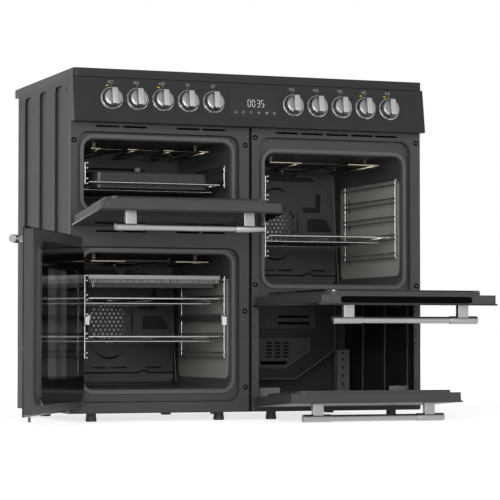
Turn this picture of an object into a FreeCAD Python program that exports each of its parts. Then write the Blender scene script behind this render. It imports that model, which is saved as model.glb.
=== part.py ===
import FreeCAD, Part
import math
import os

# A free-standing range cooker: a grill oven over a side-hinged main oven on the left, a
# tall oven over a storage compartment on the right, with a slanted control panel and a
# ceramic hob on top. The doors stand open, as the cooker is shown.
# Frame: X to the right, Y to the back, Z up, in millimetres. The pressed front plates lie
# in the plane Y = 0. Heights below are measured from the underside of the base pan, and
# every finished piece is then lifted onto the feet, so the origin lies on the floor.

V = FreeCAD.Vector
X_AXIS, Y_AXIS, Z_AXIS = V(1, 0, 0), V(0, 1, 0), V(0, 0, 1)

# Carcass
carcass_width = 1000.0
carcass_depth = 522.0
front_top_z = 758.5
hob_underside_z = 875.5
sheet = 1.5
seam_half_gap = 4.3
fit = 0.3
front_bottom_gap = 3.0
pan_upstand = 14.0
top_flange = 14.0
channel_width = 76.0
channel_pitch = 152.5
channel_first_y = 72.0
channel_depth = 5.0
channel_bottom_z, channel_top_z = 36.0, 862.0
channel_corner = 18.0
louvre_width, louvre_height, louvre_pitch = 60.0, 5.0, 14.0
louvre_rows, louvre_columns = 6, 5
louvre_first_x, louvre_first_z, louvre_column_pitch = -330.0, 560.0, 150.0
cable_hole_radius = 12.0
cable_hole_x, cable_hole_z = 380.0, 120.0

# Feet
foot_height = 22.0
foot_radius = 13.0
foot_pad_height = 8.0
foot_stud_radius = 5.0
foot_stud_top = 16.0
foot_nut_radius, foot_nut_height = 9.0, 7.0
foot_front_y, foot_rear_inset = 42.0, 42.0
foot_outer_inset, foot_seam_inset = 70.0, 75.0

# Cavities
oven_shift_x = -4.5
left_cavity_surround, right_cavity_surround = 94.0, 98.0
grill_floor_z, grill_cavity_height = 535.0, 181.0
main_floor_z, main_cavity_height = 62.7, 356.3
tall_floor_z, tall_cavity_height = 341.5, 352.2
cavity_corner = 26.0
grill_rear_space, oven_rear_space = 83.5, 43.5

# Pressed recess round each cavity, which takes the raised inside of the door
recess_depth = 14.0
recess_taper = 2.5
recess_side = 22.0
recess_top_z = 735.0
main_recess_bottom_z, main_recess_top_z = 28.0, 435.0
recess_corner = 30.0
seal_inset, seal_width = 3.0, 9.0

# Cooling slots in the front plates
slot_length, slot_height = 65.0, 5.0
slot_columns = [72.0, 145.0, 220.0, 293.0, 365.5]
left_slot_drop, right_slot_drop = 9.2, 11.0
rail_slot_rise = 12.0

# Doors, seen shut
door_gap = 4.0
door_thickness = 26.0
door_glass = 4.0
door_side_gap = 0.5
door_side_inset = 6.0
door_raised = 12.0
door_corner = 4.0
raised_corner = 28.0
door_window_corner = 12.0
raised_clearance = 4.0
raised_above_hinge = 14.0
door_window_border = 62.0
hinge_rise = 10.0
hinge_pin_radius = 3.0
hinge_bore_clearance = 0.08
hinge_ear_radius = 7.0
hinge_arm_half_width = 4.0
hinge_ear_thickness = 3.0
hinge_ear_from_end = 20.0
hinge_slot_clearance = 1.0
hinge_block_side = 7.0
hinge_block_rise = 12.0
hinge_foot_length, hinge_foot_width, hinge_foot_thickness = 24.0, 11.0, 2.0
door_top_z = 740.0
grill_door_bottom_z = 491.0
tall_door_bottom_z = 282.0
main_door_bottom_z, main_door_top_z = 8.5, 463.0
main_glass_hinge_inset = 4.0
storage_flap_bottom_z, storage_flap_top_z = 16.0, 274.0
storage_raised = 7.0
grill_door_open, main_door_open = 83.5, 120.0
tall_door_open, storage_flap_open = 90.0, 86.5

# Bar handles
handle_bar_radius, handle_sleeve_radius = 8.5, 10.0
handle_half_length, handle_sleeve_length = 200.0, 78.0
handle_post_spread = 158.5
handle_post_width, handle_post_height = 29.0, 15.0
handle_standoff = 37.0
handle_below_top = 28.0

# Wire racks, runners and shelves
rack_wire = 2.0
rack_from_wall = 12.0
rack_front_y, rack_rear_gap = 34.0, 99.5
rack_overhang = 12.0
rack_pair = 13.2
rack_pitch = 50.4
rack_levels = 5
main_rack_first_z, tall_rack_first_z = 144.6, 417.0
grill_rack_first_z, grill_rack_pitch, grill_rack_levels = 600.0, 41.0, 2
catalytic_sheet = 1.0
catalytic_front_y, catalytic_rear_gap = 26.0, 48.5
catalytic_floor_gap, catalytic_roof_gap = 26.0, 62.0
catalytic_corner = 20.0
runner_level = 2
runner_wall = 1.2
runner_height, runner_depth = 14.4, 7.0
shelf_bar, shelf_wire = 3.0, 1.8
shelf_front_y, shelf_rear_gap = 30.0, 80.5
shelf_side_gap = 14.0
shelf_drop, grill_shelf_drop = 12.5, 16.5
shelf_inset = 25.0
shelf_wire_pitch = 25.0
upper_shelf_level, lower_shelf_level, tall_shelf_level = 3, 1, 1

# Grill tray, roasting tray and its grid
tray_sheet = 1.2
grill_tray_side, grill_tray_front_y, grill_tray_rear_gap = 40.0, 60.0, 148.5
grill_tray_height = 42.0
tray_level = 4
tray_depth, tray_rim = 20.0, 8.0
tray_front_y, tray_rear_gap = 38.0, 76.5
tray_corner = 22.0
tray_rim_side = 11.5
grid_side, grid_turn_down = 24.0, 10.0
grid_wire_pitch = 23.0

# Fans, covers and elements
impeller_radius, impeller_height = 66.0, 24.0
impeller_blades = 14
blade_inner_radius, blade_sheet = 38.0, 1.2
impeller_hub_radius = 11.0
fan_shaft_radius, shaft_clearance = 4.0, 0.08
fan_wall_gap = 6.5
fan_rise_main, fan_rise_tall = 179.3, 184.5
fan_cover_gap = 38.5
fan_cover_sheet = 1.2
fan_cover_side, fan_cover_floor_gap, fan_cover_roof_gap = 14.0, 10.0, 30.0
fan_cover_corner = 20.0
fan_hole_radius, fan_hole_pitch, fan_field_radius = 4.3, 13.0, 58.0
fan_oval_half_width, fan_oval_half_height, fan_oval_raise = 64.0, 99.0, 3.0
cover_slot_columns = [-52.0, 4.0, 108.0]
cover_slot_rise = 48.0
motor_radius, motor_rear_clearance, bearing_depth = 42.0, 2.5, 22.0
ring_element_radius = 84.0
element_tube = 3.3
element_drop, element_side = 19.0, 26.0
element_front_y, element_rear_gap = 62.0, 78.5
element_bend = 14.0
element_strap, hanger_inset = 8.0, 60.0
grill_element_legs, oven_element_legs = 8, 4
lamp_lens_radius, lamp_holder_radius = 15.0, 20.0
lamp_holder_length, lamp_lens_reach = 24.0, 8.0
lamp_rear_gap, lamp_below_roof = 148.5, 43.0

# Storage compartment
storage_stile = 18.0
storage_opening_top_z = 280.0
storage_cover_gap = 122.0
storage_cover_right_x, storage_cover_top_z = 416.0, 321.0
storage_cover_low_z, storage_cover_notch_x, storage_cover_notch_z = 78.0, 293.0, 161.0
storage_emboss = 14.0

# Control panel, on a face that leans forward towards its foot
panel_top_y, panel_foot_y = -17.0, -34.5
knob_first_x, knob_pitch = 114.0, 70.5
knobs_per_side = 5
knob_down_slope = 55.0
knob_radius, knob_height = 24.0, 17.0
knob_grip_width, knob_grip_length, knob_grip_height = 15.0, 44.0, 31.0
knob_float = 0.6
spindle_radius, spindle_depth, spindle_clearance = 3.0, 12.0, 0.08
spindle_panel_hole = 5.0
bezel_outer, bezel_inner, bezel_height = 29.0, 26.4, 4.0
switch_size, switch_depth = 38.0, 26.0
display_width, display_height = 141.0, 80.0
display_down_slope = 56.0
display_glass_thickness, display_lap, display_depth = 1.2, 4.0, 20.0

# Hob
hob_side_inset = 2.5
hob_rear_overhang = 55.0
hob_band = 23.0
hob_corner = 10.0
glass_inset, glass_corner = 17.0, 8.0
glass_thickness, glass_ledge = 4.0, 12.0
zone_wall, zone_base = 4.0, 4.0
zones = [(-335.0, 140.0, 90.0), (-335.0, 400.0, 72.5), (0.0, 270.0, 120.0),
         (335.0, 140.0, 72.5), (335.0, 400.0, 90.0)]

# Worked out from the sizes above
half_width = carcass_width / 2
left_cavity_width = half_width - left_cavity_surround
right_cavity_width = half_width - right_cavity_surround
grill_rear_y = carcass_depth - grill_rear_space
oven_rear_y = carcass_depth - oven_rear_space
fan_cover_y = oven_rear_y - fan_cover_gap
rack_rear_y = oven_rear_y - rack_rear_gap
shelf_rear_y = oven_rear_y - shelf_rear_gap
catalytic_rear_y = oven_rear_y - catalytic_rear_gap
grill_tray_rear_y = oven_rear_y - grill_tray_rear_gap
tray_rear_y = oven_rear_y - tray_rear_gap
element_rear_y = oven_rear_y - element_rear_gap
lamp_y = oven_rear_y - lamp_rear_gap
motor_length = oven_rear_space - 2 * sheet - motor_rear_clearance
storage_cover_y = carcass_depth - storage_cover_gap
foot_rear_y = carcass_depth - foot_rear_inset
hob_width = carcass_width - 2 * hob_side_inset
hob_rear_y = carcass_depth + hob_rear_overhang
inside_x = half_width - sheet
rear_inside_y = carcass_depth - sheet
back_plane = recess_depth + sheet
outer_face_y = -(door_gap + door_thickness)
hinge_y = outer_face_y + door_thickness / 2
half_centre = (half_width + seam_half_gap) / 2
outer_x = half_width - door_side_gap
inner_x = seam_half_gap + door_side_gap
hob_top_z = hob_underside_z + hob_band
glass_underside_z = hob_top_z - glass_thickness
slope_angle = math.atan2(panel_top_y - panel_foot_y, hob_underside_z - front_top_z)


def box(x0, x1, y0, y1, z0, z1):
    return Part.makeBox(x1 - x0, y1 - y0, z1 - z0, V(x0, y0, z0))


def cylinder(radius, start, end):
    direction = end.sub(start)
    return Part.makeCylinder(radius, direction.Length, start, direction)


def union(shapes):
    shapes = list(shapes)
    if len(shapes) == 1:
        return shapes[0]
    return shapes[0].multiFuse(shapes[1:]).removeSplitter()


def turned(shape, point, axis, degrees):
    copy = shape.copy()
    copy.rotate(point, axis, degrees)
    return copy


def front_outline(x0, x1, z0, z1, radius, y):
    """A rectangle with round corners in the plane Y = y."""
    r = min(radius, 0.49 * (x1 - x0), 0.49 * (z1 - z0))
    s = r * (1 - math.sqrt(0.5))
    lines = [
        (V(x0 + r, y, z0), V(x1 - r, y, z0)),
        (V(x1, y, z0 + r), V(x1, y, z1 - r)),
        (V(x1 - r, y, z1), V(x0 + r, y, z1)),
        (V(x0, y, z1 - r), V(x0, y, z0 + r)),
    ]
    middles = [V(x1 - s, y, z0 + s), V(x1 - s, y, z1 - s),
               V(x0 + s, y, z1 - s), V(x0 + s, y, z0 + s)]
    edges = []
    for index, (start, end) in enumerate(lines):
        following = lines[(index + 1) % 4][0]
        edges.append(Part.LineSegment(start, end).toShape())
        edges.append(Part.Arc(end, middles[index], following).toShape())
    return Part.Wire(edges)


def front_prism(x0, x1, z0, z1, radius, y0, y1):
    """A round-cornered block between the planes Y = y0 and Y = y1."""
    wire = front_outline(x0, x1, z0, z1, radius, y0)
    return Part.Face(wire).extrude(V(0, y1 - y0, 0))


def front_taper(x0, x1, z0, z1, radius, y0, y1, inset):
    """A round-cornered block that is smaller by inset on every side at Y = y1."""
    near = front_outline(x0, x1, z0, z1, radius, y0)
    far = front_outline(x0 + inset, x1 - inset, z0 + inset, z1 - inset, radius - inset, y1)
    return Part.makeLoft([near, far], True, True)


def side_prism(y0, y1, z0, z1, radius, x0, x1):
    """A block with round corners as seen from the side."""
    return turned(front_prism(y0, y1, z0, z1, radius, -x1, -x0), V(0, 0, 0), Z_AXIS, 90)


def plan_prism(x0, x1, y0, y1, radius, z0, z1):
    """A block with round corners as seen from above."""
    return turned(front_prism(x0, x1, -y1, -y0, radius, z0, z1), V(0, 0, 0), X_AXIS, 90)


def polygon_prism(points, direction):
    wire = Part.makePolygon(points + [points[0]])
    return Part.Face(wire).extrude(direction)


def hexagon(radius):
    angles = [math.pi * n / 3 for n in range(6)]
    return [V(radius * math.cos(a), radius * math.sin(a), 0) for a in angles]


def rod(start, end, radius):
    """A straight drawn wire, given a six-sided section."""
    direction = end.sub(start)
    piece = polygon_prism(hexagon(radius), V(0, 0, direction.Length))
    piece.Placement = FreeCAD.Placement(start, FreeCAD.Rotation(Z_AXIS, direction))
    return piece


def bent_tube(points, bend, radius):
    """A six-sided tube along straight runs joined by tangent arcs of one radius."""
    edges = []
    last = points[0]
    for before, corner, after in zip(points, points[1:], points[2:]):
        to_before = before.sub(corner).normalize()
        to_after = after.sub(corner).normalize()
        half_turn = (math.pi - to_before.getAngle(to_after)) / 2
        start = corner.add(to_before * (bend * math.tan(half_turn)))
        end = corner.add(to_after * (bend * math.tan(half_turn)))
        inward = to_before.add(to_after).normalize()
        middle = corner.add(inward * (bend / math.cos(half_turn) - bend))
        edges.append(Part.LineSegment(last, start).toShape())
        edges.append(Part.Arc(start, middle, end).toShape())
        last = end
    edges.append(Part.LineSegment(last, points[-1]).toShape())
    section = Part.makePolygon(hexagon(radius) + [hexagon(radius)[0]])
    turn = FreeCAD.Rotation(Z_AXIS, points[1].sub(points[0]))
    section.Placement = FreeCAD.Placement(points[0], turn)
    return Part.Wire(edges).makePipeShell([section], True, False)


def save(name, *shapes):
    """Lifts a piece onto the feet and writes it, as one solid or as a group of solids."""
    solids = [solid for shape in shapes for solid in shape.Solids]
    kept = solids[0].copy() if len(solids) == 1 else Part.makeCompound(solids)
    kept.translate(V(0, 0, foot_height))
    kept.exportStep("parts/" + name + ".step")
    print(name, len(solids), "valid" if kept.isValid() else "NOT VALID", round(kept.Volume))


os.makedirs("parts", exist_ok=True)


class Cavity:
    """The clear space inside one oven, and the recess pressed round its mouth."""

    def __init__(self, side, floor_z, width, height, rear_y, recess_z0, recess_z1):
        centre = side * half_centre + oven_shift_x
        self.centre_x = centre
        self.x0, self.x1 = centre - width / 2, centre + width / 2
        self.z0, self.z1 = floor_z, floor_z + height
        self.rear_y = rear_y
        self.recess = (self.x0 - recess_side, self.x1 + recess_side, recess_z0, recess_z1)

    def prism(self, grow, y0, y1):
        return front_prism(self.x0 - grow, self.x1 + grow, self.z0 - grow, self.z1 + grow,
                           cavity_corner + grow, y0, y1)

    def wall_x(self, side, inward):
        """The place that lies inward of the left (-1) or right (1) wall."""
        return self.x0 + inward if side < 0 else self.x1 - inward


hinge_reach = hinge_rise + raised_above_hinge
grill = Cavity(-1, grill_floor_z, left_cavity_width, grill_cavity_height, grill_rear_y,
               grill_door_bottom_z + hinge_reach - recess_taper, recess_top_z)
main = Cavity(-1, main_floor_z, left_cavity_width, main_cavity_height, oven_rear_y,
              main_recess_bottom_z, main_recess_top_z)
tall = Cavity(1, tall_floor_z, right_cavity_width, tall_cavity_height, oven_rear_y,
              tall_door_bottom_z + hinge_reach - recess_taper, recess_top_z)

# Base pan with a low upstand all round, and the eight screw feet that pass through it.
foot_places = [(side * x, y) for side in (-1, 1) for y in (foot_front_y, foot_rear_y)
               for x in (half_width - foot_outer_inset, foot_seam_inset)]
pan = box(-inside_x, inside_x, sheet, rear_inside_y, 0, sheet)
rims = [box(x0, x1, sheet, 2 * sheet, 0, pan_upstand)
        for x0, x1 in ((-inside_x, -seam_half_gap - sheet), (seam_half_gap + sheet, inside_x))]
rims.append(box(-inside_x, inside_x, rear_inside_y - sheet, rear_inside_y, 0, pan_upstand))
rims += [box(side * inside_x - (sheet if side > 0 else 0), side * inside_x + (sheet if side < 0 else 0),
             back_plane, rear_inside_y, 0, pan_upstand) for side in (-1, 1)]
stud_holes = [cylinder(foot_stud_radius + fit, V(x, y, -1), V(x, y, sheet + 1))
              for x, y in foot_places]
save("base_frame", union([pan] + rims).cut(union(stud_holes)))


def levelling_foot(x, y):
    pad = cylinder(foot_radius, V(x, y, -foot_height), V(x, y, foot_pad_height - foot_height))
    pad = pad.makeChamfer(1.2, [pad.Edges[0]])
    stud = cylinder(foot_stud_radius, V(x, y, foot_pad_height - foot_height - 1),
                    V(x, y, foot_stud_top))
    nut = polygon_prism([p + V(x, y, sheet) for p in hexagon(foot_nut_radius)],
                        V(0, 0, foot_nut_height))
    return union([pad, stud, nut])


save("levelling_feet", *[levelling_foot(x, y) for x, y in foot_places])


# Side panels: one sheet each, with three shallow pressed channels and a flange at the top.
def side_panel(side):
    face = side * half_width

    def slab(y0, y1, z0, z1, radius, out, inward):
        """A block whose depth is measured inward from the outer face of the panel."""
        x0, x1 = sorted((face - side * out, face - side * inward))
        return side_prism(y0, y1, z0, z1, radius, x0, x1)

    panel = slab(back_plane, carcass_depth, 0, hob_underside_z, 0.5, 0, sheet)
    flange_x = sorted((face, face - side * top_flange))
    flange = box(*flange_x, back_plane, rear_inside_y, hob_underside_z - sheet, hob_underside_z)
    shells, voids = [], []
    for n in range(3):
        y0 = channel_first_y + n * channel_pitch
        y1 = y0 + channel_width
        shells.append(slab(y0 - sheet, y1 + sheet, channel_bottom_z - sheet,
                           channel_top_z + sheet, channel_corner + sheet, 0,
                           channel_depth + sheet))
        voids.append(slab(y0, y1, channel_bottom_z, channel_top_z, channel_corner, -1,
                          channel_depth))
    return union([panel, flange] + shells).cut(union(voids))


save("left_side_panel", side_panel(-1))
save("right_side_panel", side_panel(1))

# Rear panel with rows of air slots and the hole for the supply cable, and the two divider
# sheets that stand back to back between the left and right ovens.
rear = box(-inside_x, inside_x, rear_inside_y, carcass_depth, 0, hob_underside_z)
air_slots = []
for column in range(louvre_columns):
    for row in range(louvre_rows):
        x = louvre_first_x + column * louvre_column_pitch
        z = louvre_first_z + row * louvre_pitch
        air_slots.append(front_prism(x - louvre_width / 2, x + louvre_width / 2, z,
                                     z + louvre_height, louvre_height / 2,
                                     rear_inside_y - 1, carcass_depth + 1))
cable_hole = cylinder(cable_hole_radius, V(cable_hole_x, rear_inside_y - 1, cable_hole_z),
                      V(cable_hole_x, carcass_depth + 1, cable_hole_z))
save("rear_panel", rear.cut(union(air_slots + [cable_hole])))

dividers = []
for side in (-1, 1):
    x0, x1 = sorted((side * seam_half_gap, side * (seam_half_gap + sheet)))
    dividers.append(box(x0, x1, back_plane, rear_inside_y - sheet, sheet, front_top_z))
save("centre_panels", *dividers)


# Doors. Each is first seen shut, hinged along X at its lower edge, then swung open. The
# side-hinged door is made the same way and stood on its side.
class Door:
    def __init__(self, x_range, z_range, raised_x, raised_top, raised, open_angle, glass_inset_z=0.0):
        self.x0, self.x1 = x_range
        self.z0, self.z1 = z_range
        self.hinge = V(0, hinge_y, self.z0 + hinge_rise)
        self.raised_x, self.raised_top, self.raised = raised_x, raised_top, raised
        self.open_angle = open_angle
        self.glass_inset_z = glass_inset_z
        inset = door_side_inset + hinge_ear_from_end
        self.ears = [self.x0 + inset, self.x1 - inset]

    def frame_box(self, inset):
        side = door_side_inset + inset
        return self.x0 + side, self.x1 - side, self.z0 + inset, self.z1 - inset

    def raised_box(self, inset):
        return (self.raised_x[0] + inset, self.raised_x[1] - inset,
                self.hinge.z + raised_above_hinge + inset, self.raised_top - inset)

    def outer_pane(self):
        return front_prism(self.x0, self.x1, self.z0 + self.glass_inset_z, self.z1, door_corner,
                           outer_face_y, outer_face_y + door_glass)

    def inner_pane(self):
        top = self.raised - door_gap
        return front_prism(*self.raised_box(0), raised_corner, top - door_glass, top)

    def pan(self, window):
        front_y = outer_face_y + door_glass
        ledge = self.raised - door_gap - (door_glass if window else 0)
        shell = front_prism(*self.frame_box(0), door_corner, front_y, -door_gap)
        shell = shell.fuse(front_prism(*self.raised_box(0), raised_corner, -door_gap - 1, ledge))
        shell = shell.cut(front_prism(*self.frame_box(sheet), door_corner - sheet,
                                      front_y - 1, -door_gap - sheet))
        shell = shell.cut(front_prism(*self.raised_box(sheet), raised_corner - sheet,
                                      -door_gap - sheet - 1, ledge - sheet))
        if window:
            shell = shell.cut(front_prism(*self.raised_box(door_window_border), door_window_corner,
                                          ledge - sheet - 1, ledge + 1))
        blocks, slots, pins = [], [], []
        half = hinge_ear_thickness / 2 + hinge_slot_clearance
        wide = half + hinge_block_side
        block_top = self.hinge.z + hinge_block_rise
        slot_top = self.hinge.z + hinge_ear_radius + 2 * hinge_slot_clearance
        for x in self.ears:
            blocks.append(box(x - wide, x + wide, front_y, -door_gap, self.z0, block_top))
            slots.append(box(x - half, x + half, front_y - 1, self.raised, self.z0 - 1, slot_top))
            pins.append(cylinder(hinge_pin_radius, V(x - wide + sheet, hinge_y, self.hinge.z),
                                 V(x + wide - sheet, hinge_y, self.hinge.z)))
        return union([union([shell] + blocks).cut(union(slots))] + pins)

    def brackets(self):
        return [hinge_bracket(V(x, hinge_y, self.hinge.z)) for x in self.ears]

    def bracket_holes(self):
        """Slots in the front plate that the hinge lugs pass through."""
        half_x = hinge_ear_thickness / 2 + fit
        half_z = hinge_arm_half_width + fit
        return [box(x - half_x, x + half_x, -1, sheet + 1, self.hinge.z - half_z,
                    self.hinge.z + half_z) for x in self.ears]

    def swung(self, shape):
        return turned(shape, self.hinge, X_AXIS, self.open_angle)


def hinge_bracket(pin):
    """A lug with an eye for the pin, on a foot that lies behind the front plate."""
    half = hinge_ear_thickness / 2
    arm = box(pin.x - half, pin.x + half, pin.y, sheet + hinge_foot_thickness,
              pin.z - hinge_arm_half_width, pin.z + hinge_arm_half_width)
    eye = cylinder(hinge_ear_radius, pin - V(half, 0, 0), pin + V(half, 0, 0))
    foot = box(pin.x - hinge_foot_length / 2, pin.x + hinge_foot_length / 2, sheet,
               sheet + hinge_foot_thickness, pin.z - hinge_foot_width / 2,
               pin.z + hinge_foot_width / 2)
    bore = cylinder(hinge_pin_radius + hinge_bore_clearance, pin - V(2 * half, 0, 0),
                    pin + V(2 * half, 0, 0))
    return union([arm, eye, foot]).cut(bore)


def stood_up(shape):
    """Turns what was built along X so that its hinge edge stands at the left."""
    return turned(shape, V(0, 0, 0), Y_AXIS, 90)


raised_drop = raised_clearance + recess_taper


def raised_span(cavity):
    return cavity.recess[0] + raised_drop, cavity.recess[1] - raised_drop


grill_door = Door((-outer_x, -inner_x), (grill_door_bottom_z, door_top_z), raised_span(grill),
                  recess_top_z - raised_drop, door_raised, grill_door_open)
tall_door = Door((inner_x, outer_x), (tall_door_bottom_z, door_top_z), raised_span(tall),
                 recess_top_z - raised_drop, door_raised, tall_door_open)
storage_x0 = seam_half_gap + sheet + storage_stile
storage_x1 = inside_x - storage_stile
storage_flap = Door((inner_x, outer_x), (storage_flap_bottom_z, storage_flap_top_z),
                    (storage_x0 + raised_drop, storage_x1 - raised_drop),
                    storage_flap_top_z - raised_clearance, storage_raised, storage_flap_open)
main_door = Door((-main_door_top_z, -main_door_bottom_z), (-outer_x, -inner_x),
                 (raised_drop - main_recess_top_z, -main_recess_bottom_z - raised_drop),
                 main.recess[1] - raised_drop, door_raised, main_door_open,
                 main_glass_hinge_inset)
main_hinge = V(main_door.hinge.z, hinge_y, 0)
storage_opening_bottom_z = storage_flap.hinge.z + raised_above_hinge - raised_clearance


# Pressed fronts: a flat plate with a deep recess round each oven mouth, folded edges,
# slots for the hinge lugs and rows of cooling slots.
def recess_shell(cavity):
    x0, x1, z0, z1 = cavity.recess
    return front_taper(x0 - sheet, x1 + sheet, z0 - sheet, z1 + sheet,
                       recess_corner + sheet, 0, back_plane, recess_taper)


def recess_void(cavity):
    tray = front_taper(*cavity.recess, recess_corner, 0, recess_depth, recess_taper)
    return tray.fuse(cavity.prism(0, recess_depth - 1, back_plane + 1))


def cooling_slots(side, z, columns):
    cuts = []
    for column in columns:
        x0, x1 = sorted((side * column, side * (column + slot_length)))
        cuts.append(front_prism(x0, x1, z - slot_height / 2, z + slot_height / 2,
                                slot_height / 2, -1, sheet + 1))
    return cuts


def front_plate(side, cavities, cuts):
    x0, x1 = sorted((side * half_width, side * seam_half_gap))
    z0 = front_bottom_gap
    pieces = [
        box(x0, x1, 0, sheet, z0, front_top_z),
        box(x0, x1, 0, back_plane, front_top_z - sheet, front_top_z),
        box(x0, x0 + sheet, 0, back_plane, z0, front_top_z),
        box(x1 - sheet, x1, 0, back_plane, z0, front_top_z),
    ]
    pieces += [recess_shell(cavity) for cavity in cavities]
    return union(pieces).cut(union([recess_void(cavity) for cavity in cavities] + cuts))


left_cuts = cooling_slots(-1, front_top_z - left_slot_drop, slot_columns[:4])
left_cuts += cooling_slots(-1, main_door_top_z + rail_slot_rise, slot_columns[:4])
left_cuts += grill_door.bracket_holes() + [stood_up(hole) for hole in main_door.bracket_holes()]
save("left_front_frame", front_plate(-1, [grill, main], left_cuts))

right_cuts = cooling_slots(1, front_top_z - right_slot_drop, slot_columns)
right_cuts += tall_door.bracket_holes() + storage_flap.bracket_holes()
right_cuts.append(front_prism(storage_x0, storage_x1, storage_opening_bottom_z,
                              storage_opening_top_z, 5.0, -1, sheet + 1))
save("right_front_frame", front_plate(1, [tall], right_cuts))

brackets = grill_door.brackets() + tall_door.brackets() + storage_flap.brackets()
brackets += [stood_up(bracket) for bracket in main_door.brackets()]
save("hinge_brackets", *brackets)


# Bar handles: a round bar with a thicker sleeve at each end, on two flat posts.
def bar_handle(centre_x, z):
    y = outer_face_y - handle_standoff
    half = handle_half_length
    pieces = [cylinder(handle_bar_radius, V(centre_x - half + sheet, y, z),
                       V(centre_x + half - sheet, y, z))]
    for side in (-1, 1):
        end = V(centre_x + side * half, y, z)
        pieces.append(cylinder(handle_sleeve_radius, end, end - V(side * handle_sleeve_length, 0, 0)))
        post_x = centre_x + side * handle_post_spread
        pieces.append(box(post_x - handle_post_width / 2, post_x + handle_post_width / 2, y,
                          outer_face_y, z - handle_post_height / 2, z + handle_post_height / 2))
    return union(pieces)


def drop_handle(door):
    return door.swung(bar_handle((door.x0 + door.x1) / 2, door.z1 - handle_below_top))


for name, door in (("grill_door", grill_door), ("tall_door", tall_door)):
    save(name + "_frame", door.swung(door.pan(True)))
    save(name + "_glass", door.swung(door.outer_pane()), door.swung(door.inner_pane()))
    save(name + "_handle", drop_handle(door))
save("storage_flap_panel", storage_flap.swung(storage_flap.outer_pane()))
save("storage_flap_liner", storage_flap.swung(storage_flap.pan(False)))
save("storage_flap_handle", drop_handle(storage_flap))
save("main_door_frame", stood_up(main_door.swung(main_door.pan(True))))
save("main_door_glass", stood_up(main_door.swung(main_door.outer_pane())),
     stood_up(main_door.swung(main_door.inner_pane())))
main_handle = bar_handle((main_door.z0 + main_door.z1) / 2, main_door_top_z - handle_below_top)
save("main_door_handle", turned(main_handle, main_hinge, Z_AXIS, -main_door_open))

# Door seals: a soft ring on the floor of each recess, just short of the shut door.
seal_front_y = door_raised - door_gap + fit
seals = []
for cavity in (grill, main, tall):
    ring = cavity.prism(seal_inset + seal_width, seal_front_y, recess_depth)
    seals.append(ring.cut(cavity.prism(seal_inset, seal_front_y - 1, recess_depth + 1)))
save("door_seals", *seals)

# Fan places, on the rear wall of the two fan ovens
fan_centres = [(main, V(main.centre_x, 0, main.z0 + fan_rise_main)),
               (tall, V(tall.centre_x, 0, tall.z0 + fan_rise_tall))]


def along_y(radius, centre, y0, y1):
    return cylinder(radius, V(centre.x, y0, centre.z), V(centre.x, y1, centre.z))


# Oven liners: enamelled boxes open at the front, whose edge meets the back of the recess.
def lamp_centre(cavity):
    return V(cavity.x0, lamp_y, cavity.z1 - lamp_below_roof)


def liner(cavity):
    shell = cavity.prism(sheet, back_plane, cavity.rear_y + sheet)
    return shell.cut(cavity.prism(0, back_plane - 1, cavity.rear_y))


save("grill_oven_liner", liner(grill))
for name, (cavity, centre) in zip(("main_oven_liner", "tall_oven_liner"), fan_centres):
    shaft_hole = along_y(fan_shaft_radius + 1, centre, oven_rear_y - 1, oven_rear_y + sheet + 1)
    lamp = lamp_centre(cavity)
    lamp_hole = cylinder(lamp_lens_radius + fit, lamp - V(2 * sheet, 0, 0), lamp + V(1, 0, 0))
    save(name, liner(cavity).cut(shaft_hole.fuse(lamp_hole)))

# Oven lamps: a holder outside the left wall, with its lens through the wall.
lamps = []
for cavity in (main, tall):
    lamp = lamp_centre(cavity)
    wall = lamp - V(sheet, 0, 0)
    holder = cylinder(lamp_holder_radius, wall - V(lamp_holder_length, 0, 0), wall)
    lens = cylinder(lamp_lens_radius, wall - V(1, 0, 0), lamp + V(lamp_lens_reach, 0, 0))
    lamps.append(union([holder, lens]))
save("oven_lamps", *lamps)

# Catalytic side liners: thin coated sheets against both side walls of the fan ovens.
sheets = []
for cavity in (main, tall):
    for side in (-1, 1):
        x0, x1 = sorted((cavity.wall_x(side, 0), cavity.wall_x(side, catalytic_sheet)))
        sheets.append(side_prism(catalytic_front_y, catalytic_rear_y,
                                 cavity.z0 + catalytic_floor_gap,
                                 cavity.z1 - catalytic_roof_gap, catalytic_corner, x0, x1))
save("catalytic_liners", *sheets)


# Side racks: pairs of wires that carry the shelves, on two uprights with stubs to the wall.
def side_rack(cavity, side, first_z, pitch, levels, wall_cover):
    wire_x = cavity.wall_x(side, rack_from_wall)
    upright_x = cavity.wall_x(side, rack_from_wall - 1.5 * rack_wire)
    wall_x = cavity.wall_x(side, wall_cover)
    top_z = first_z + (levels - 1) * pitch + rack_pair
    wires = []
    for level in range(levels):
        for z in (first_z + level * pitch, first_z + level * pitch + rack_pair):
            wires.append(rod(V(wire_x, rack_front_y - rack_overhang, z),
                             V(wire_x, rack_rear_y + rack_overhang, z), rack_wire))
    for y in (rack_front_y, rack_rear_y):
        wires.append(rod(V(upright_x, y, first_z - rack_wire), V(upright_x, y, top_z + rack_wire),
                         rack_wire))
        for z in (first_z + rack_pair / 2, top_z - rack_pair / 2):
            wires.append(rod(V(upright_x, y, z), V(wall_x, y, z), rack_wire))
    return union(wires)


racks = []
for side in (-1, 1):
    racks.append(side_rack(grill, side, grill_rack_first_z, grill_rack_pitch,
                           grill_rack_levels, 0))
    racks.append(side_rack(main, side, main_rack_first_z, rack_pitch, rack_levels,
                           catalytic_sheet))
    racks.append(side_rack(tall, side, tall_rack_first_z, rack_pitch, rack_levels,
                           catalytic_sheet))
save("side_racks", *racks)


def resting_height(rack_z):
    """The underside of what lies on a rack wire."""
    return rack_z + rack_wire + fit


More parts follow.
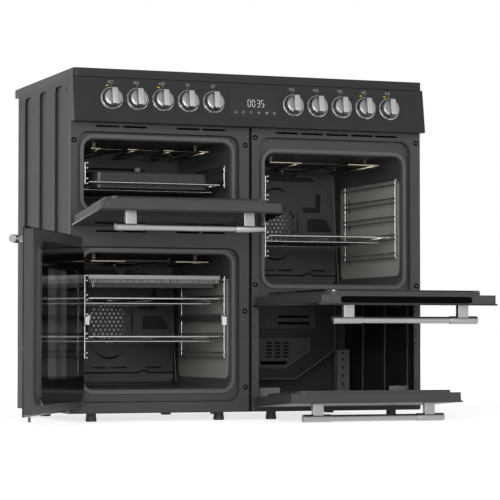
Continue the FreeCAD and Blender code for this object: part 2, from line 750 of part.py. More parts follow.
# Wire shelves: a thick outer frame, and a grid that hangs lower inside it.
def wire_shelf(cavity, rack_z, drop):
    z = resting_height(rack_z) + shelf_bar
    x0, x1 = cavity.wall_x(-1, shelf_side_gap), cavity.wall_x(1, shelf_side_gap)
    y0, y1 = shelf_front_y, shelf_rear_y
    low_x0, low_x1, low_z = x0 + shelf_inset, x1 - shelf_inset, z - drop
    bars = [rod(V(x, y0 - shelf_bar, z), V(x, y1 + shelf_bar, z), shelf_bar) for x in (x0, x1)]
    bars += [rod(V(x0, y, z), V(x1, y, z), shelf_bar) for y in (y0, y1)]
    bars += [rod(V(low_x0, y, low_z), V(low_x1, y, low_z), shelf_bar - 0.5)
             for y in (y0 + shelf_bar, y1 - shelf_bar)]
    count = int((low_x1 - low_x0) // shelf_wire_pitch)
    step = (low_x1 - low_x0) / count
    bars += [rod(V(low_x0 + n * step, y0, low_z + shelf_wire),
                 V(low_x0 + n * step, y1, low_z + shelf_wire), shelf_wire)
             for n in range(count + 1)]
    for y in (y0 + shelf_bar, (y0 + y1) / 2, y1 - shelf_bar):
        bars += [rod(V(x0, y, z), V(low_x0, y, low_z + shelf_wire), shelf_wire),
                 rod(V(x1, y, z), V(low_x1, y, low_z + shelf_wire), shelf_wire)]
    return union(bars)


def rack_level(first_z, level):
    return first_z + level * rack_pitch


save("grill_shelf", wire_shelf(grill, grill_rack_first_z, grill_shelf_drop))
save("main_oven_shelf_upper",
     wire_shelf(main, rack_level(main_rack_first_z, upper_shelf_level), shelf_drop))
save("main_oven_shelf_lower",
     wire_shelf(main, rack_level(main_rack_first_z, lower_shelf_level), shelf_drop))
save("tall_oven_shelf",
     wire_shelf(tall, rack_level(tall_rack_first_z, tall_shelf_level), shelf_drop))


# Trays: thin pressed pans. The grill tray stands on the grid of the grill shelf, and the
# roasting tray hangs by its rim on the top pair of rack wires.
def open_pan(x0, x1, y0, y1, z0, z1):
    outer = plan_prism(x0, x1, y0, y1, tray_corner, z0, z1)
    return outer.cut(plan_prism(x0 + tray_sheet, x1 - tray_sheet, y0 + tray_sheet,
                                y1 - tray_sheet, tray_corner - tray_sheet,
                                z0 + tray_sheet, z1 + 1))


def rim_ring(x0, x1, y0, y1, z1, rim):
    outer = plan_prism(x0 - rim, x1 + rim, y0 - rim, y1 + rim, tray_corner + rim,
                       z1 - tray_sheet, z1)
    return outer.cut(plan_prism(x0 + tray_sheet, x1 - tray_sheet, y0 + tray_sheet,
                                y1 - tray_sheet, tray_corner - tray_sheet,
                                z1 - 2 * tray_sheet, z1 + 1))


grill_grid_z = resting_height(grill_rack_first_z) + shelf_bar - grill_shelf_drop + 2 * shelf_wire
pan_place = (grill.wall_x(-1, grill_tray_side), grill.wall_x(1, grill_tray_side),
             grill_tray_front_y, grill_tray_rear_y)
pan_z0 = grill_grid_z + fit
pan_z1 = pan_z0 + grill_tray_height
save("grill_tray", union([open_pan(*pan_place, pan_z0, pan_z1),
                          rim_ring(*pan_place, pan_z1, tray_rim / 2)]))

tray_rack_z = rack_level(main_rack_first_z, tray_level)
rim_top_z = resting_height(tray_rack_z) + tray_sheet
tray_place = (main.wall_x(-1, tray_rim_side + tray_rim), main.wall_x(1, tray_rim_side + tray_rim),
              tray_front_y + tray_rim, tray_rear_y - tray_rim)
save("roasting_tray", union([open_pan(*tray_place, rim_top_z - tray_depth, rim_top_z),
                             rim_ring(*tray_place, rim_top_z, tray_rim)]))


def tray_grid():
    """A wire grid on the tray's rim, whose wires turn down in front of the rim."""
    z = rim_top_z + fit + shelf_bar
    x0, x1 = main.wall_x(-1, grid_side), main.wall_x(1, grid_side)
    front_y = tray_front_y - shelf_wire - 1
    bars = [rod(V(x0 - shelf_bar, y, z), V(x1 + shelf_bar, y, z), shelf_bar)
            for y in (tray_front_y + tray_rim / 2, tray_rear_y - tray_rim / 2)]
    count = int((x1 - x0) // grid_wire_pitch)
    for n in range(count + 1):
        x = x0 + n * (x1 - x0) / count
        bars.append(rod(V(x, front_y - shelf_wire, z + shelf_wire),
                        V(x, tray_rear_y, z + shelf_wire), shelf_wire))
        bars.append(rod(V(x, front_y, z + shelf_wire), V(x, front_y, z - grid_turn_down),
                        shelf_wire))
    return union(bars)


save("tray_grid", tray_grid())

# Telescopic runners: a channel beside each rack, and the slide that travels out of it.
runner_z = rack_level(main_rack_first_z, runner_level)
runner_near = rack_from_wall + rack_wire
rails, slides = [], []
for side in (-1, 1):
    def runner_block(inward, outward, y0, y1, z0, z1):
        x0, x1 = sorted((main.wall_x(side, inward), main.wall_x(side, outward)))
        return box(x0, x1, y0, y1, z0, z1)

    y0, y1 = rack_front_y - rack_overhang, rack_rear_y
    z0, z1 = runner_z - rack_wire, runner_z - rack_wire + runner_height
    channel = runner_block(runner_near, runner_near + runner_depth, y0, y1, z0, z1)
    hollow = runner_block(runner_near + runner_wall, runner_near + runner_depth + 1, y0 - 1,
                          y1 + 1, z0 + runner_wall, z1 - runner_wall)
    rails.append(channel.cut(hollow))
    slides.append(runner_block(runner_near + runner_wall + fit,
                               runner_near + runner_depth + runner_wall, y0, y1,
                               z0 + runner_wall + fit, z1 - runner_wall - fit))
save("runner_rails", *rails)
save("runner_slides", *slides)


# Roof elements: one bent heating tube under each roof, strapped to two hangers, with both
# ends through the rear wall, and a ring element round each fan.
def roof_element(cavity, legs):
    z = cavity.z1 - element_drop
    x0, x1 = cavity.wall_x(-1, element_side), cavity.wall_x(1, element_side)
    points = [V(x0, cavity.rear_y, z)]
    for leg in range(legs):
        x = x0 + leg * (x1 - x0) / (legs - 1)
        ends = [element_rear_y, element_front_y] if leg % 2 == 0 else [element_front_y, element_rear_y]
        points += [V(x, ends[0], z), V(x, ends[1], z)]
    points = [points[0]] + points[2:-1] + [V(x1, cavity.rear_y, z)]
    pieces = [bent_tube(points, element_bend, element_tube)]
    strap_z = z + element_tube - 1.3
    for y in (element_front_y + hanger_inset, element_rear_y - hanger_inset):
        pieces.append(box(x0 - element_tube, x1 + element_tube, y, y + element_strap,
                          strap_z, strap_z + sheet))
        for side in (-1, 1):
            x = cavity.wall_x(side, hanger_inset)
            pieces.append(box(x - element_strap / 2, x + element_strap / 2, y, y + sheet,
                              strap_z, cavity.z1))
    return union(pieces)


def ring_element(cavity, centre):
    y = cavity.rear_y - fan_wall_gap - impeller_height / 2
    corners = [V(centre.x + ring_element_radius + p.x, y + p.y, centre.z)
               for p in hexagon(element_tube)]
    face = Part.Face(Part.makePolygon(corners + [corners[0]]))
    ring = face.revolve(V(centre.x, 0, centre.z), Y_AXIS, 360)
    legs = [rod(V(centre.x + side * ring_element_radius / 2, y,
                  centre.z + ring_element_radius * math.sqrt(0.75)),
                V(centre.x + side * ring_element_radius / 2, cavity.rear_y,
                  centre.z + ring_element_radius * math.sqrt(0.75)), element_tube)
            for side in (-1, 1)]
    return union([ring] + legs)


elements = [roof_element(grill, grill_element_legs)]
elements += [roof_element(cavity, oven_element_legs) for cavity in (main, tall)]
elements += [ring_element(cavity, centre) for cavity, centre in fan_centres]
save("heating_elements", *elements)


# Fan covers: a pressed cover in front of each fan, with a raised oval that carries a field
# of six-sided holes, and air slots near its foot.
def hole_field(centre, y0, y1):
    rise = fan_hole_pitch * math.sqrt(0.75)
    rows = int(fan_field_radius // rise)
    holes = []
    for row in range(-rows, rows + 1):
        shift = fan_hole_pitch / 2 if row % 2 else 0.0
        for column in range(-rows - 1, rows + 2):
            x, z = column * fan_hole_pitch + shift, row * rise
            if math.hypot(x, z) <= fan_field_radius:
                corners = [V(centre.x + x + p.y, y0, centre.z + z + p.x)
                           for p in hexagon(fan_hole_radius)]
                holes.append(polygon_prism(corners, V(0, y1 - y0, 0)))
    return holes


def fan_cover(cavity, centre):
    sides = (cavity.wall_x(-1, fan_cover_side), cavity.wall_x(1, fan_cover_side),
             cavity.z0 + fan_cover_floor_gap, cavity.z1 - fan_cover_roof_gap)
    inner = (sides[0] + fan_cover_sheet, sides[1] - fan_cover_sheet,
             sides[2] + fan_cover_sheet, sides[3] - fan_cover_sheet)
    oval = (centre.x - fan_oval_half_width, centre.x + fan_oval_half_width,
            centre.z - fan_oval_half_height, centre.z + fan_oval_half_height)
    oval_inner = (oval[0] + fan_cover_sheet, oval[1] - fan_cover_sheet,
                  oval[2] + fan_cover_sheet, oval[3] - fan_cover_sheet)
    raised_y = fan_cover_y - fan_oval_raise
    inside_y = fan_cover_y + fan_cover_sheet
    shell = front_prism(*sides, fan_cover_corner, fan_cover_y, cavity.rear_y)
    shell = shell.fuse(front_prism(*oval, fan_oval_half_width, raised_y, fan_cover_y + 1))
    shell = shell.cut(front_prism(*inner, fan_cover_corner - fan_cover_sheet, inside_y,
                                  cavity.rear_y + 1))
    shell = shell.cut(front_prism(*oval_inner, fan_oval_half_width, raised_y + fan_cover_sheet,
                                  inside_y + 1))
    cuts = hole_field(centre, raised_y - 1, inside_y + 1)
    slot_z = cavity.z0 + cover_slot_rise
    for column in cover_slot_columns:
        x = centre.x + column
        cuts.append(front_prism(x, x + slot_length * 0.72, slot_z, slot_z + slot_height,
                                slot_height / 2, fan_cover_y - 1, inside_y + 1))
    return shell.cut(Part.makeCompound(cuts))


save("fan_covers", *[fan_cover(cavity, centre) for cavity, centre in fan_centres])


# Fans: a backed ring of blades on a shaft that runs through the rear wall into the motor.
def impeller(cavity, centre):
    back_y = cavity.rear_y - fan_wall_gap
    disc = along_y(impeller_radius, centre, back_y - sheet, back_y)
    hub = along_y(impeller_hub_radius, centre, back_y - impeller_height, back_y)
    shaft = along_y(fan_shaft_radius, centre, back_y - sheet, oven_rear_y + sheet + bearing_depth - 1)
    blades = []
    for n in range(impeller_blades):
        blade = box(centre.x + blade_inner_radius, centre.x + impeller_radius - 1,
                    back_y - impeller_height, back_y - sheet / 2, centre.z,
                    centre.z + blade_sheet)
        blades.append(turned(blade, centre, Y_AXIS, 360.0 * n / impeller_blades))
    return union([disc, hub, shaft] + blades)


save("main_oven_fan", impeller(*fan_centres[0]))
save("tall_oven_fan", impeller(*fan_centres[1]))

motors = []
for cavity, centre in fan_centres:
    back = oven_rear_y + sheet
    can = along_y(motor_radius, centre, back, back + motor_length)
    bearing = along_y(fan_shaft_radius + shaft_clearance, centre, back - 1, back + bearing_depth)
    motors.append(can.cut(bearing))
save("fan_motors", *motors)

# Rear cover of the storage compartment: a stepped sheet with two embossed boxes.
cover_x0 = seam_half_gap + sheet
cover_outline = [
    (cover_x0, storage_cover_top_z), (storage_cover_right_x, storage_cover_top_z),
    (storage_cover_right_x, storage_cover_notch_z), (storage_cover_notch_x, storage_cover_low_z),
    (cover_x0, storage_cover_low_z),
]


def cover_block(outline, y0, y1):
    return polygon_prism([V(x, y0, z) for x, z in outline], V(0, y1 - y0, 0))


def embossed(outline, shrunk):
    front_y = storage_cover_y - storage_emboss
    outer = cover_block(outline, front_y, storage_cover_y + sheet / 2)
    return outer, cover_block(shrunk, front_y + sheet, storage_cover_y + 2 * sheet)


upper_box = [(16.0, 223.0), (345.0, 223.0), (345.0, 303.0), (16.0, 303.0)]
lower_box = [(16.0, 108.0), (250.0, 108.0), (330.0, 158.0), (330.0, 198.0), (16.0, 198.0)]


def shrink(outline, by):
    """The outline moved inward by a sheet's thickness."""
    middle_x = sum(x for x, _ in outline) / len(outline)
    middle_z = sum(z for _, z in outline) / len(outline)
    return [(x + math.copysign(by, middle_x - x), z + math.copysign(by, middle_z - z))
            for x, z in outline]


cover = cover_block(cover_outline, storage_cover_y, storage_cover_y + sheet)
for outline in (upper_box, lower_box):
    outer, inner = embossed(outline, shrink(outline, sheet))
    cover = cover.fuse(outer).cut(inner)
save("storage_rear_cover", cover.removeSplitter())

# Control panel: a folded shell whose face leans forward, with holes for the ten spindles
# and a window behind the display glass.
cos_slope, sin_slope = math.cos(slope_angle), math.sin(slope_angle)


def on_panel(shape, x, down_slope):
    """Moves a shape, built facing +Z about the origin, to a place on the leaning face."""
    place = V(x, panel_top_y - down_slope * sin_slope, hob_underside_z - down_slope * cos_slope)
    turn = FreeCAD.Rotation(X_AXIS, 90 - math.degrees(slope_angle))
    copy = shape.copy()
    copy.Placement = FreeCAD.Placement(place, turn).multiply(copy.Placement)
    return copy


knob_places = [side * (knob_first_x + n * knob_pitch) for side in (-1, 1)
               for n in range(knobs_per_side)]
knob_places.sort()


def panel_profile(x, inset, back_y):
    """The side outline of the panel shell, made smaller by the sheet's thickness."""
    lean = inset / cos_slope
    step = inset * math.tan(slope_angle)
    return [V(x, panel_top_y + lean - step, hob_underside_z - inset),
            V(x, back_y, hob_underside_z - inset), V(x, back_y, front_top_z + inset),
            V(x, panel_foot_y + lean + step, front_top_z + inset)]


shell = polygon_prism(panel_profile(-half_width, 0, back_plane), V(carcass_width, 0, 0))
shell = shell.cut(polygon_prism(panel_profile(-inside_x, sheet, back_plane + 1),
                                V(2 * inside_x, 0, 0)))
spindle_hole = cylinder(spindle_panel_hole, V(0, 0, -2 * sheet), V(0, 0, sheet))
window_x, window_y = display_width / 2 - display_lap, display_height / 2 - display_lap
window = box(-window_x, window_x, -window_y, window_y, -2 * sheet, sheet)
cuts = [on_panel(spindle_hole, x, knob_down_slope) for x in knob_places]
cuts.append(on_panel(window, 0, display_down_slope))
save("control_panel", shell.cut(Part.makeCompound(cuts)))

display = front_prism(-display_width / 2, display_width / 2, -display_height / 2,
                      display_height / 2, 3.0, -display_glass_thickness, 0)
display = turned(display, V(0, 0, 0), X_AXIS, -90)
module = box(fit - window_x, window_x - fit, fit - window_y, window_y - fit, -display_depth, 0)
save("display_glass", on_panel(display, 0, display_down_slope),
     on_panel(module, 0, display_down_slope))


# Knobs: a turned body with a raised grip bar, and a spindle that runs into its switch.
def knob():
    top, rim = knob_height, knob_radius
    profile = [V(0, 0, knob_float), V(rim, 0, knob_float), V(rim, 0, knob_float + 2),
               V(rim - 1.2, 0, top - 2), V(rim - 2.8, 0, top), V(0, 0, top)]
    body = Part.Face(Part.makePolygon(profile + [profile[0]])).revolve(V(0, 0, 0), Z_AXIS, 360)

    def grip_outline(width, length, z):
        half_w, half_l = width / 2, length / 2
        return Part.makePolygon([V(-half_w, -half_l, z), V(half_w, -half_l, z),
                                 V(half_w, half_l, z), V(-half_w, half_l, z),
                                 V(-half_w, -half_l, z)])

    grip = Part.makeLoft([grip_outline(knob_grip_width, knob_grip_length, knob_height / 2),
                          grip_outline(knob_grip_width - 2, knob_grip_length - 6,
                                       knob_grip_height)], True, True)
    spindle = cylinder(spindle_radius, V(0, 0, -sheet - spindle_depth), V(0, 0, knob_height / 2))
    return union([body, grip, spindle])


half_switch = switch_size / 2
switch = box(-half_switch, half_switch, -half_switch, half_switch, -sheet - switch_depth, -sheet)
switch = switch.cut(cylinder(spindle_radius + spindle_clearance,
                             V(0, 0, -sheet - spindle_depth - 1), V(0, 0, 0)))
bezel = cylinder(bezel_outer, V(0, 0, 0), V(0, 0, bezel_height))
bezel = bezel.cut(cylinder(bezel_inner, V(0, 0, -1), V(0, 0, bezel_height + 1)))
for number, x in enumerate(knob_places, start=1):
    save("control_knob_%02d" % number, on_panel(knob(), x, knob_down_slope))
save("rotary_switches", *[on_panel(switch, x, knob_down_slope) for x in knob_places])
save("knob_bezels", *[on_panel(bezel, x, knob_down_slope) for x in knob_places])

# Hob: a shallow tray with a ledge that carries the glass, and five elements under it.
half_hob = hob_width / 2


def hob_block(inset, radius, z0, z1):
    return plan_prism(inset - half_hob, half_hob - inset, panel_top_y + inset,
                      hob_rear_y - inset, radius, z0, z1)


ledge_z = glass_underside_z - sheet
glass_edge = glass_inset - fit
tray = hob_block(0, hob_corner, hob_underside_z, hob_top_z)
tray = tray.cut(hob_block(sheet, hob_corner - sheet, hob_underside_z + sheet, hob_top_z - sheet))
well = hob_block(glass_edge - sheet, glass_corner + sheet, ledge_z, hob_top_z)
tray = tray.fuse(well)
tray = tray.cut(hob_block(glass_edge, glass_corner + fit, glass_underside_z, hob_top_z + 1))
tray = tray.cut(hob_block(glass_edge + glass_ledge, glass_corner, ledge_z - 1, hob_top_z))
save("hob_frame", tray.removeSplitter())
save("hob_glass", hob_block(glass_inset, glass_corner, glass_underside_z, hob_top_z))

dishes = []
for x, y, radius in zones:
    floor_z = hob_underside_z + sheet
    dish = cylinder(radius, V(x, y, floor_z), V(x, y, glass_underside_z))
    dishes.append(dish.cut(cylinder(radius - zone_wall, V(x, y, floor_z + zone_base),
                                    V(x, y, glass_underside_z + 1))))
save("hob_elements", *dishes)
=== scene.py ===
import math

import bmesh
import bpy
from mathutils import Matrix, Vector


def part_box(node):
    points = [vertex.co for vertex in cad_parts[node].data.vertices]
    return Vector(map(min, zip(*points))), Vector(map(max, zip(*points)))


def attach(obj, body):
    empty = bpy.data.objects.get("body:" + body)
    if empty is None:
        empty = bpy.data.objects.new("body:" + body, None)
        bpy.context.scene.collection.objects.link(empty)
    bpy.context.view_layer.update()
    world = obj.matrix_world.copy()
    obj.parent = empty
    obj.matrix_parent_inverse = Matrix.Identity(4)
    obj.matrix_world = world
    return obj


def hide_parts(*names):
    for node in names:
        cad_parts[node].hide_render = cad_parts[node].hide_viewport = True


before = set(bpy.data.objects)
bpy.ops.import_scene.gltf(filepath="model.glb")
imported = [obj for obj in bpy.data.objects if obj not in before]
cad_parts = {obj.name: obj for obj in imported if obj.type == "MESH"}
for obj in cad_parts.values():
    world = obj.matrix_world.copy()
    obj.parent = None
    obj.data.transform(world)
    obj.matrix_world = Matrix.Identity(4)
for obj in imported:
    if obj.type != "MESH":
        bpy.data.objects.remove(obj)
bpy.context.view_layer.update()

# A range cooker with a double oven, with its doors standing open: a grill oven over a main
# oven on the left, and a tall oven over a storage compartment on the right. The sections
# below follow the order in which such a cooker is put together. Sizes are in millimetres.

# Camera: a long lens at knee height, six metres away to the left, tipped up a little. That
# is why the undersides of the open grill and tall doors show.
MM = 0.001


def add_object(name, data):
    thing = bpy.data.objects.new(name, data)
    bpy.context.scene.collection.objects.link(thing)
    return thing


camera_data = bpy.data.cameras.new("camera")
camera_data.sensor_width, camera_data.lens = 36.0, 159.37
camera = add_object("camera", camera_data)
camera.location = Vector((-2114.5, -5517.3, 220.5)) * MM
camera_pitch, camera_yaw = 2.256, 20.956
camera.rotation_euler = (math.radians(90 + camera_pitch), 0, math.radians(-camera_yaw))
bpy.context.scene.camera = camera
bpy.context.scene.view_settings.view_transform = "Standard"


# Studio: a white floor and white surroundings, as on a sales page, lit by large soft boxes.
# The floor and the world are white to the eye and in reflections, and the floor keeps the
# cooker's shadow.
def linear(code, gain=1.0):
    """The linear colour of an sRGB hex code, made lighter or darker by a gain."""
    parts = [int(code[n:n + 2], 16) / 255 for n in (1, 3, 5)]
    return tuple(gain * (p / 12.92 if p <= 0.04045 else ((p + 0.055) / 1.055) ** 2.4)
                 for p in parts) + (1,)


def add_node(owner, kind, inputs=None, **settings):
    """Adds a shader node with its settings, and sets or links its inputs."""
    node = owner.node_tree.nodes.new("ShaderNode" + kind)
    for setting, value in settings.items():
        setattr(node, setting, value)
    for socket, value in (inputs or {}).items():
        if isinstance(value, tuple) and isinstance(value[0], bpy.types.Node):
            owner.node_tree.links.new(value[0].outputs[value[1]], node.inputs[socket])
        else:
            node.inputs[socket].default_value = value
    return node


def new_material(name):
    material = bpy.data.materials.new(name)
    material.use_nodes = True
    material.node_tree.nodes.clear()
    return material


def finished(material, sockets):
    """Ends a material with its surface."""
    surface = add_node(material, "BsdfPrincipled", sockets)
    add_node(material, "OutputMaterial", {"Surface": (surface, "BSDF")})
    return material


def pattern(material, kind, width, inputs):
    """A texture fixed to its object, whose features have a real width in mm."""
    place = add_node(material, "TexCoord"), "Object"
    return add_node(material, kind, {"Vector": place, "Scale": 1 / (width * MM), **inputs})


def seen_or_mirrored(owner):
    """1 for rays from the eye, from a reflection or through glass, otherwise 0."""
    path = add_node(owner, "LightPath")
    direct = add_node(owner, "Math", {0: (path, "Is Camera Ray"), 1: (path, "Is Glossy Ray")},
                      operation="MAXIMUM")
    return add_node(owner, "Math", {0: (direct, "Value"), 1: (path, "Is Transmission Ray")},
                    operation="MAXIMUM")


world = bpy.data.worlds.new("white_studio")
bpy.context.scene.world = world
world.use_nodes = True
world.node_tree.nodes.clear()
direction = add_node(world, "TexCoord")
height_above = add_node(world, "SeparateXYZ", {"Vector": (direction, "Generated")})
# Both fall from the horizon up: the white that metal mirrors, and the fill light.
mirrored_level, fill_level = [
    add_node(world, "MapRange", {"Value": (height_above, "Z"), "From Min": low, "From Max": high,
                                 "To Min": at_horizon, "To Max": overhead},
             interpolation_type="SMOOTHSTEP")
    for low, high, at_horizon, overhead in ((0.35, 0.85, 1.0, 0.35), (0.0, 0.8, 0.46, 0.2))]
eye_ray = add_node(world, "LightPath")
white_level = add_node(world, "Math", {0: (mirrored_level, "Result"),
                                       1: (eye_ray, "Is Camera Ray")}, operation="MAXIMUM")
white_room, soft_fill = [
    add_node(world, "Background", {"Color": linear("#ffffff"), "Strength": level})
    for level in ((white_level, "Value"), (fill_level, "Result"))]
room = add_node(world, "MixShader", {0: (seen_or_mirrored(world), "Value"),
                                     1: (soft_fill, "Background"), 2: (white_room, "Background")})
add_node(world, "OutputWorld", {"Surface": (room, "Shader")})

floor_white = new_material("painted_studio_floor")
floor_paint = add_node(floor_white, "BsdfDiffuse", {"Color": linear("#e6e6e6")})
near_glow, far_glow, fade_start, fade_end = 0.74, 1.0, 1.4, 4.0
floor_point = add_node(floor_white, "TexCoord")
floor_reach = add_node(floor_white, "VectorMath", {0: (floor_point, "Object")}, operation="LENGTH")
glow_level = add_node(floor_white, "MapRange",
                      {"Value": (floor_reach, "Value"), "From Min": fade_start,
                       "From Max": fade_end, "To Min": near_glow, "To Max": far_glow})
floor_dark = add_node(floor_white, "Emission", {"Strength": 0.0})
floor_glow = add_node(floor_white, "Emission", {"Strength": (glow_level, "Result")})
floor_lift = add_node(floor_white, "MixShader",
                      {0: (seen_or_mirrored(floor_white), "Value"),
                       1: (floor_dark, "Emission"), 2: (floor_glow, "Emission")})
floor_sum = add_node(floor_white, "AddShader", {0: (floor_paint, "BSDF"),
                                                1: (floor_lift, "Shader")})
add_node(floor_white, "OutputMaterial", {"Surface": (floor_sum, "Shader")})

floor_half = 40.0
floor_mesh = bpy.data.meshes.new("studio_floor")
floor_mesh.from_pydata([(x * floor_half, y * floor_half, 0)
                        for x, y in ((-1, -1), (1, -1), (1, 1), (-1, 1))], [], [(0, 1, 2, 3)])
floor_mesh.materials.append(floor_white)
floor = add_object("studio_floor", floor_mesh)

cooker_middle = Vector((0.0, 0.25, 0.45))


def add_soft_box(name, place, width, watts, mirrored=False):
    """A square lamp aimed at the cooker. Only a mirrored one shows in reflections."""
    lamp = bpy.data.lights.new(name, "AREA")
    lamp.shape, lamp.size, lamp.energy = "SQUARE", width, watts
    box_light = add_object(name, lamp)
    box_light.location = place
    aim = cooker_middle - Vector(place)
    box_light.rotation_euler = aim.to_track_quat("-Z", "Y").to_euler()
    box_light.visible_glossy = mirrored


add_soft_box("key_soft_box", (-3.0, -4.0, 2.2), 2.6, 84)
add_soft_box("fill_soft_box", (3.6, -4.2, 1.7), 2.6, 48)
add_soft_box("oven_front_soft_box", (-1.7, -4.6, 0.8), 1.8, 82, mirrored=True)


# Carcass: side sheets with three pressed channels, pressed fronts, dividers and a rear panel.
# They are folded from 1.5 mm steel and powder coated anthracite, which gives a satin skin
# with a very fine orange peel. Its ripples are drawn a little coarser, so that they show.
def coated_steel(name, colour, roughness, peel=1.4, relief=0.10):
    """Powder coat or enamel on sheet steel. peel is the width of its ripples, in mm."""
    material = new_material(name)
    ripple = pattern(material, "TexNoise", peel, {"Detail": 2.0})
    cloud_width = 90.0
    cloud = pattern(material, "TexNoise", cloud_width, {"Detail": 3.0})
    shade = add_node(material, "Mix", {0: (cloud, "Fac"), 6: linear(colour),
                                       7: linear(colour, 1.24)}, data_type="RGBA")
    gloss = add_node(material, "MapRange", {"Value": (cloud, "Fac"), "To Min": roughness - 0.04,
                                            "To Max": roughness + 0.05})
    folds = add_node(material, "Bevel", {"Radius": 0.8 * MM}, samples=4)
    bump = add_node(material, "Bump", {"Height": (ripple, "Fac"), "Strength": relief,
                                       "Distance": 0.1 * MM, "Normal": (folds, "Normal")})
    return finished(material, {"Base Color": (shade, 2), "Roughness": (gloss, "Result"), "IOR": 1.5,
                               "Specular IOR Level": 0.3, "Normal": (bump, "Normal")})


def dress(material, *names):
    """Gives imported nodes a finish."""
    for name in names:
        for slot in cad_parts[name].material_slots:
            slot.material = material


anthracite_coat = coated_steel("anthracite_powder_coat", "#3c3c3c", 0.42)
dress(anthracite_coat, "left_front_frame", "right_front_frame", "centre_panels",
      "storage_rear_cover", "base_frame", "rear_panel")
# The side sheets take a darker copy of the same anthracite coat: painted shade on the sides.
side_shade_coat = coated_steel("side_panel_painted_shade_coat", "#1d1d1d", 0.44)
dress(side_shade_coat, "left_side_panel", "right_side_panel")


# Hinge brackets and fan motors: bare galvanised sheet, grey with the broad leaf-like
# crystals of hot-dip zinc.
def galvanised_steel(name, colour, roughness, crystal=9.0):
    material = new_material(name)
    spangle = pattern(material, "TexVoronoi", crystal, {})
    tone = add_node(material, "SeparateColor", {"Color": (spangle, "Color")})
    shade = add_node(material, "Mix", {0: (tone, "Red"), 6: linear(colour),
                                       7: linear(colour, 1.35)}, data_type="RGBA")
    gloss = add_node(material, "MapRange", {"Value": (tone, "Green"), "To Min": roughness - 0.08,
                                            "To Max": roughness + 0.08})
    folds = add_node(material, "Bevel", {"Radius": 0.5 * MM}, samples=4)
    return finished(material, {"Base Color": (shade, 2), "Metallic": 1.0,
                               "Roughness": (gloss, "Result"), "Normal": (folds, "Normal")})


zinc_sheet = galvanised_steel("galvanised_sheet", "#8c8f92", 0.42)
dress(zinc_sheet, "hinge_brackets", "fan_motors")


# Hob: a folded frame round a ceramic glass. The glass is black and mirror-smooth, with
# five heating zones under it, each marked by a printed grey ring.
def smooth_finish(name, colour, roughness, sockets, edge=0.0):
    """Glass, glaze or a lit surface. edge is the radius of its ground or fired edges, in mm."""
    material = new_material(name)
    inputs = {"Base Color": linear(colour), "Roughness": roughness, **sockets}
    if edge:
        inputs["Normal"] = (add_node(material, "Bevel", {"Radius": edge * MM}, samples=4), "Normal")
    return finished(material, inputs)


def add_piece(name, form, material, body="carcass"):
    """A mesh piece from a form, which is (corners in mm, faces). It rides on a body."""
    mesh = bpy.data.meshes.new(name)
    mesh.from_pydata([Vector(v) * MM for v in form[0]], [], form[1])
    mesh.materials.append(material)
    piece = add_object(name, mesh)
    shaped = bmesh.new()
    shaped.from_mesh(mesh)
    bmesh.ops.recalc_face_normals(shaped, faces=shaped.faces)
    sharp_from = math.radians(40.0)
    for edge in shaped.edges:
        edge.smooth = len(edge.link_faces) != 2 or edge.calc_face_angle() < sharp_from
    for face in shaped.faces:
        face.smooth = True
    shaped.to_mesh(mesh)
    shaped.free()
    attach(piece, body)
    return piece


def joined(*forms):
    """Several (vertices, faces) forms as one."""
    vertices, faces = [], []
    for points, sides in forms:
        faces += [tuple(i + len(vertices) for i in side) for side in sides]
        vertices += points
    return vertices, faces


def at(x, y, z):
    return Matrix.Translation((x, y, z))


def turned(degrees, axis):
    return Matrix.Rotation(math.radians(degrees), 4, axis)


def moved(form, place):
    """A form put at a place, which is a matrix in mm."""
    return [place @ Vector(v) for v in form[0]], form[1]


def copies(form, places):
    return joined(*[moved(form, place) for place in places])


def turned_form(profile, steps=48):
    """A form of revolution about Z from (radius, height) points. Ends on the axis close."""
    vertices, faces, rings = [], [], []
    turns = [2 * math.pi * n / steps for n in range(steps)]
    for radius, height in profile:
        count = steps if radius else 1
        rings.append([len(vertices) + n % count for n in range(steps)])
        vertices += [Vector((radius * math.cos(turn), radius * math.sin(turn), height))
                     for turn in turns[:count]]
    for low, high in zip(rings, rings[1:]):
        for n in range(steps):
            m = (n + 1) % steps
            corners = tuple(dict.fromkeys((low[n], low[m], high[m], high[n])))
            if len(corners) > 2:
                faces.append(corners)
    return vertices, faces


def flat_ring(x, y, radius, width, rise, steps=20):
    profile = [(radius - width, 0), (radius - width, rise), (radius, rise), (radius, 0),
               (radius - width, 0)]
    return moved(turned_form(profile, steps), at(x, y, 0))


hob_steel = coated_steel("hob_frame_powder_coat", "#212121", 0.40)
glass_ior, ground_edge = 1.52, 1.0
hob_ceramic = smooth_finish("black_ceramic_glass", "#0b0b0c", 0.1,
                            {"IOR": glass_ior, "Specular IOR Level": 0.2}, ground_edge)
dress(hob_steel, "hob_frame")
dress(hob_ceramic, "hob_glass")
element_mica = coated_steel("ceramic_fibre_dish", "#7a756c", 0.9)
dress(element_mica, "hob_elements")

zone_print = smooth_finish("grey_enamel_print", "#8b8b8b", 0.35, {"IOR": glass_ior}, ground_edge)
hob_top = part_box("hob_glass")[1][2] / MM
print_rise, ring_width = 0.02, 1.6
zones = [(-335, 140, 90), (-335, 400, 72.5), (0, 270, 120), (335, 140, 72.5), (335, 400, 90)]
zone_rings = [moved(flat_ring(x, y, edge, ring_width, print_rise, 96), at(0, 0, hob_top))
              for x, y, radius in zones for edge in (radius, radius - 12)]
add_piece("hob_zone_rings", joined(*zone_rings), zone_print)

# Control panel: a folded steel panel, powder coated as the carcass is, whose face leans
# forward at its foot. A dark glass in its middle covers the clock.
# The panel's coat is a darker copy of the carcass coat: painted shade on its leaning face.
panel_shade_coat = coated_steel("panel_painted_shade_coat", "#222222", 0.42)
dress(panel_shade_coat, "control_panel")
clock_glass = smooth_finish("smoked_display_glass", "#0e0e0e", 0.3, {"IOR": glass_ior}, ground_edge)
dress(clock_glass, "display_glass")

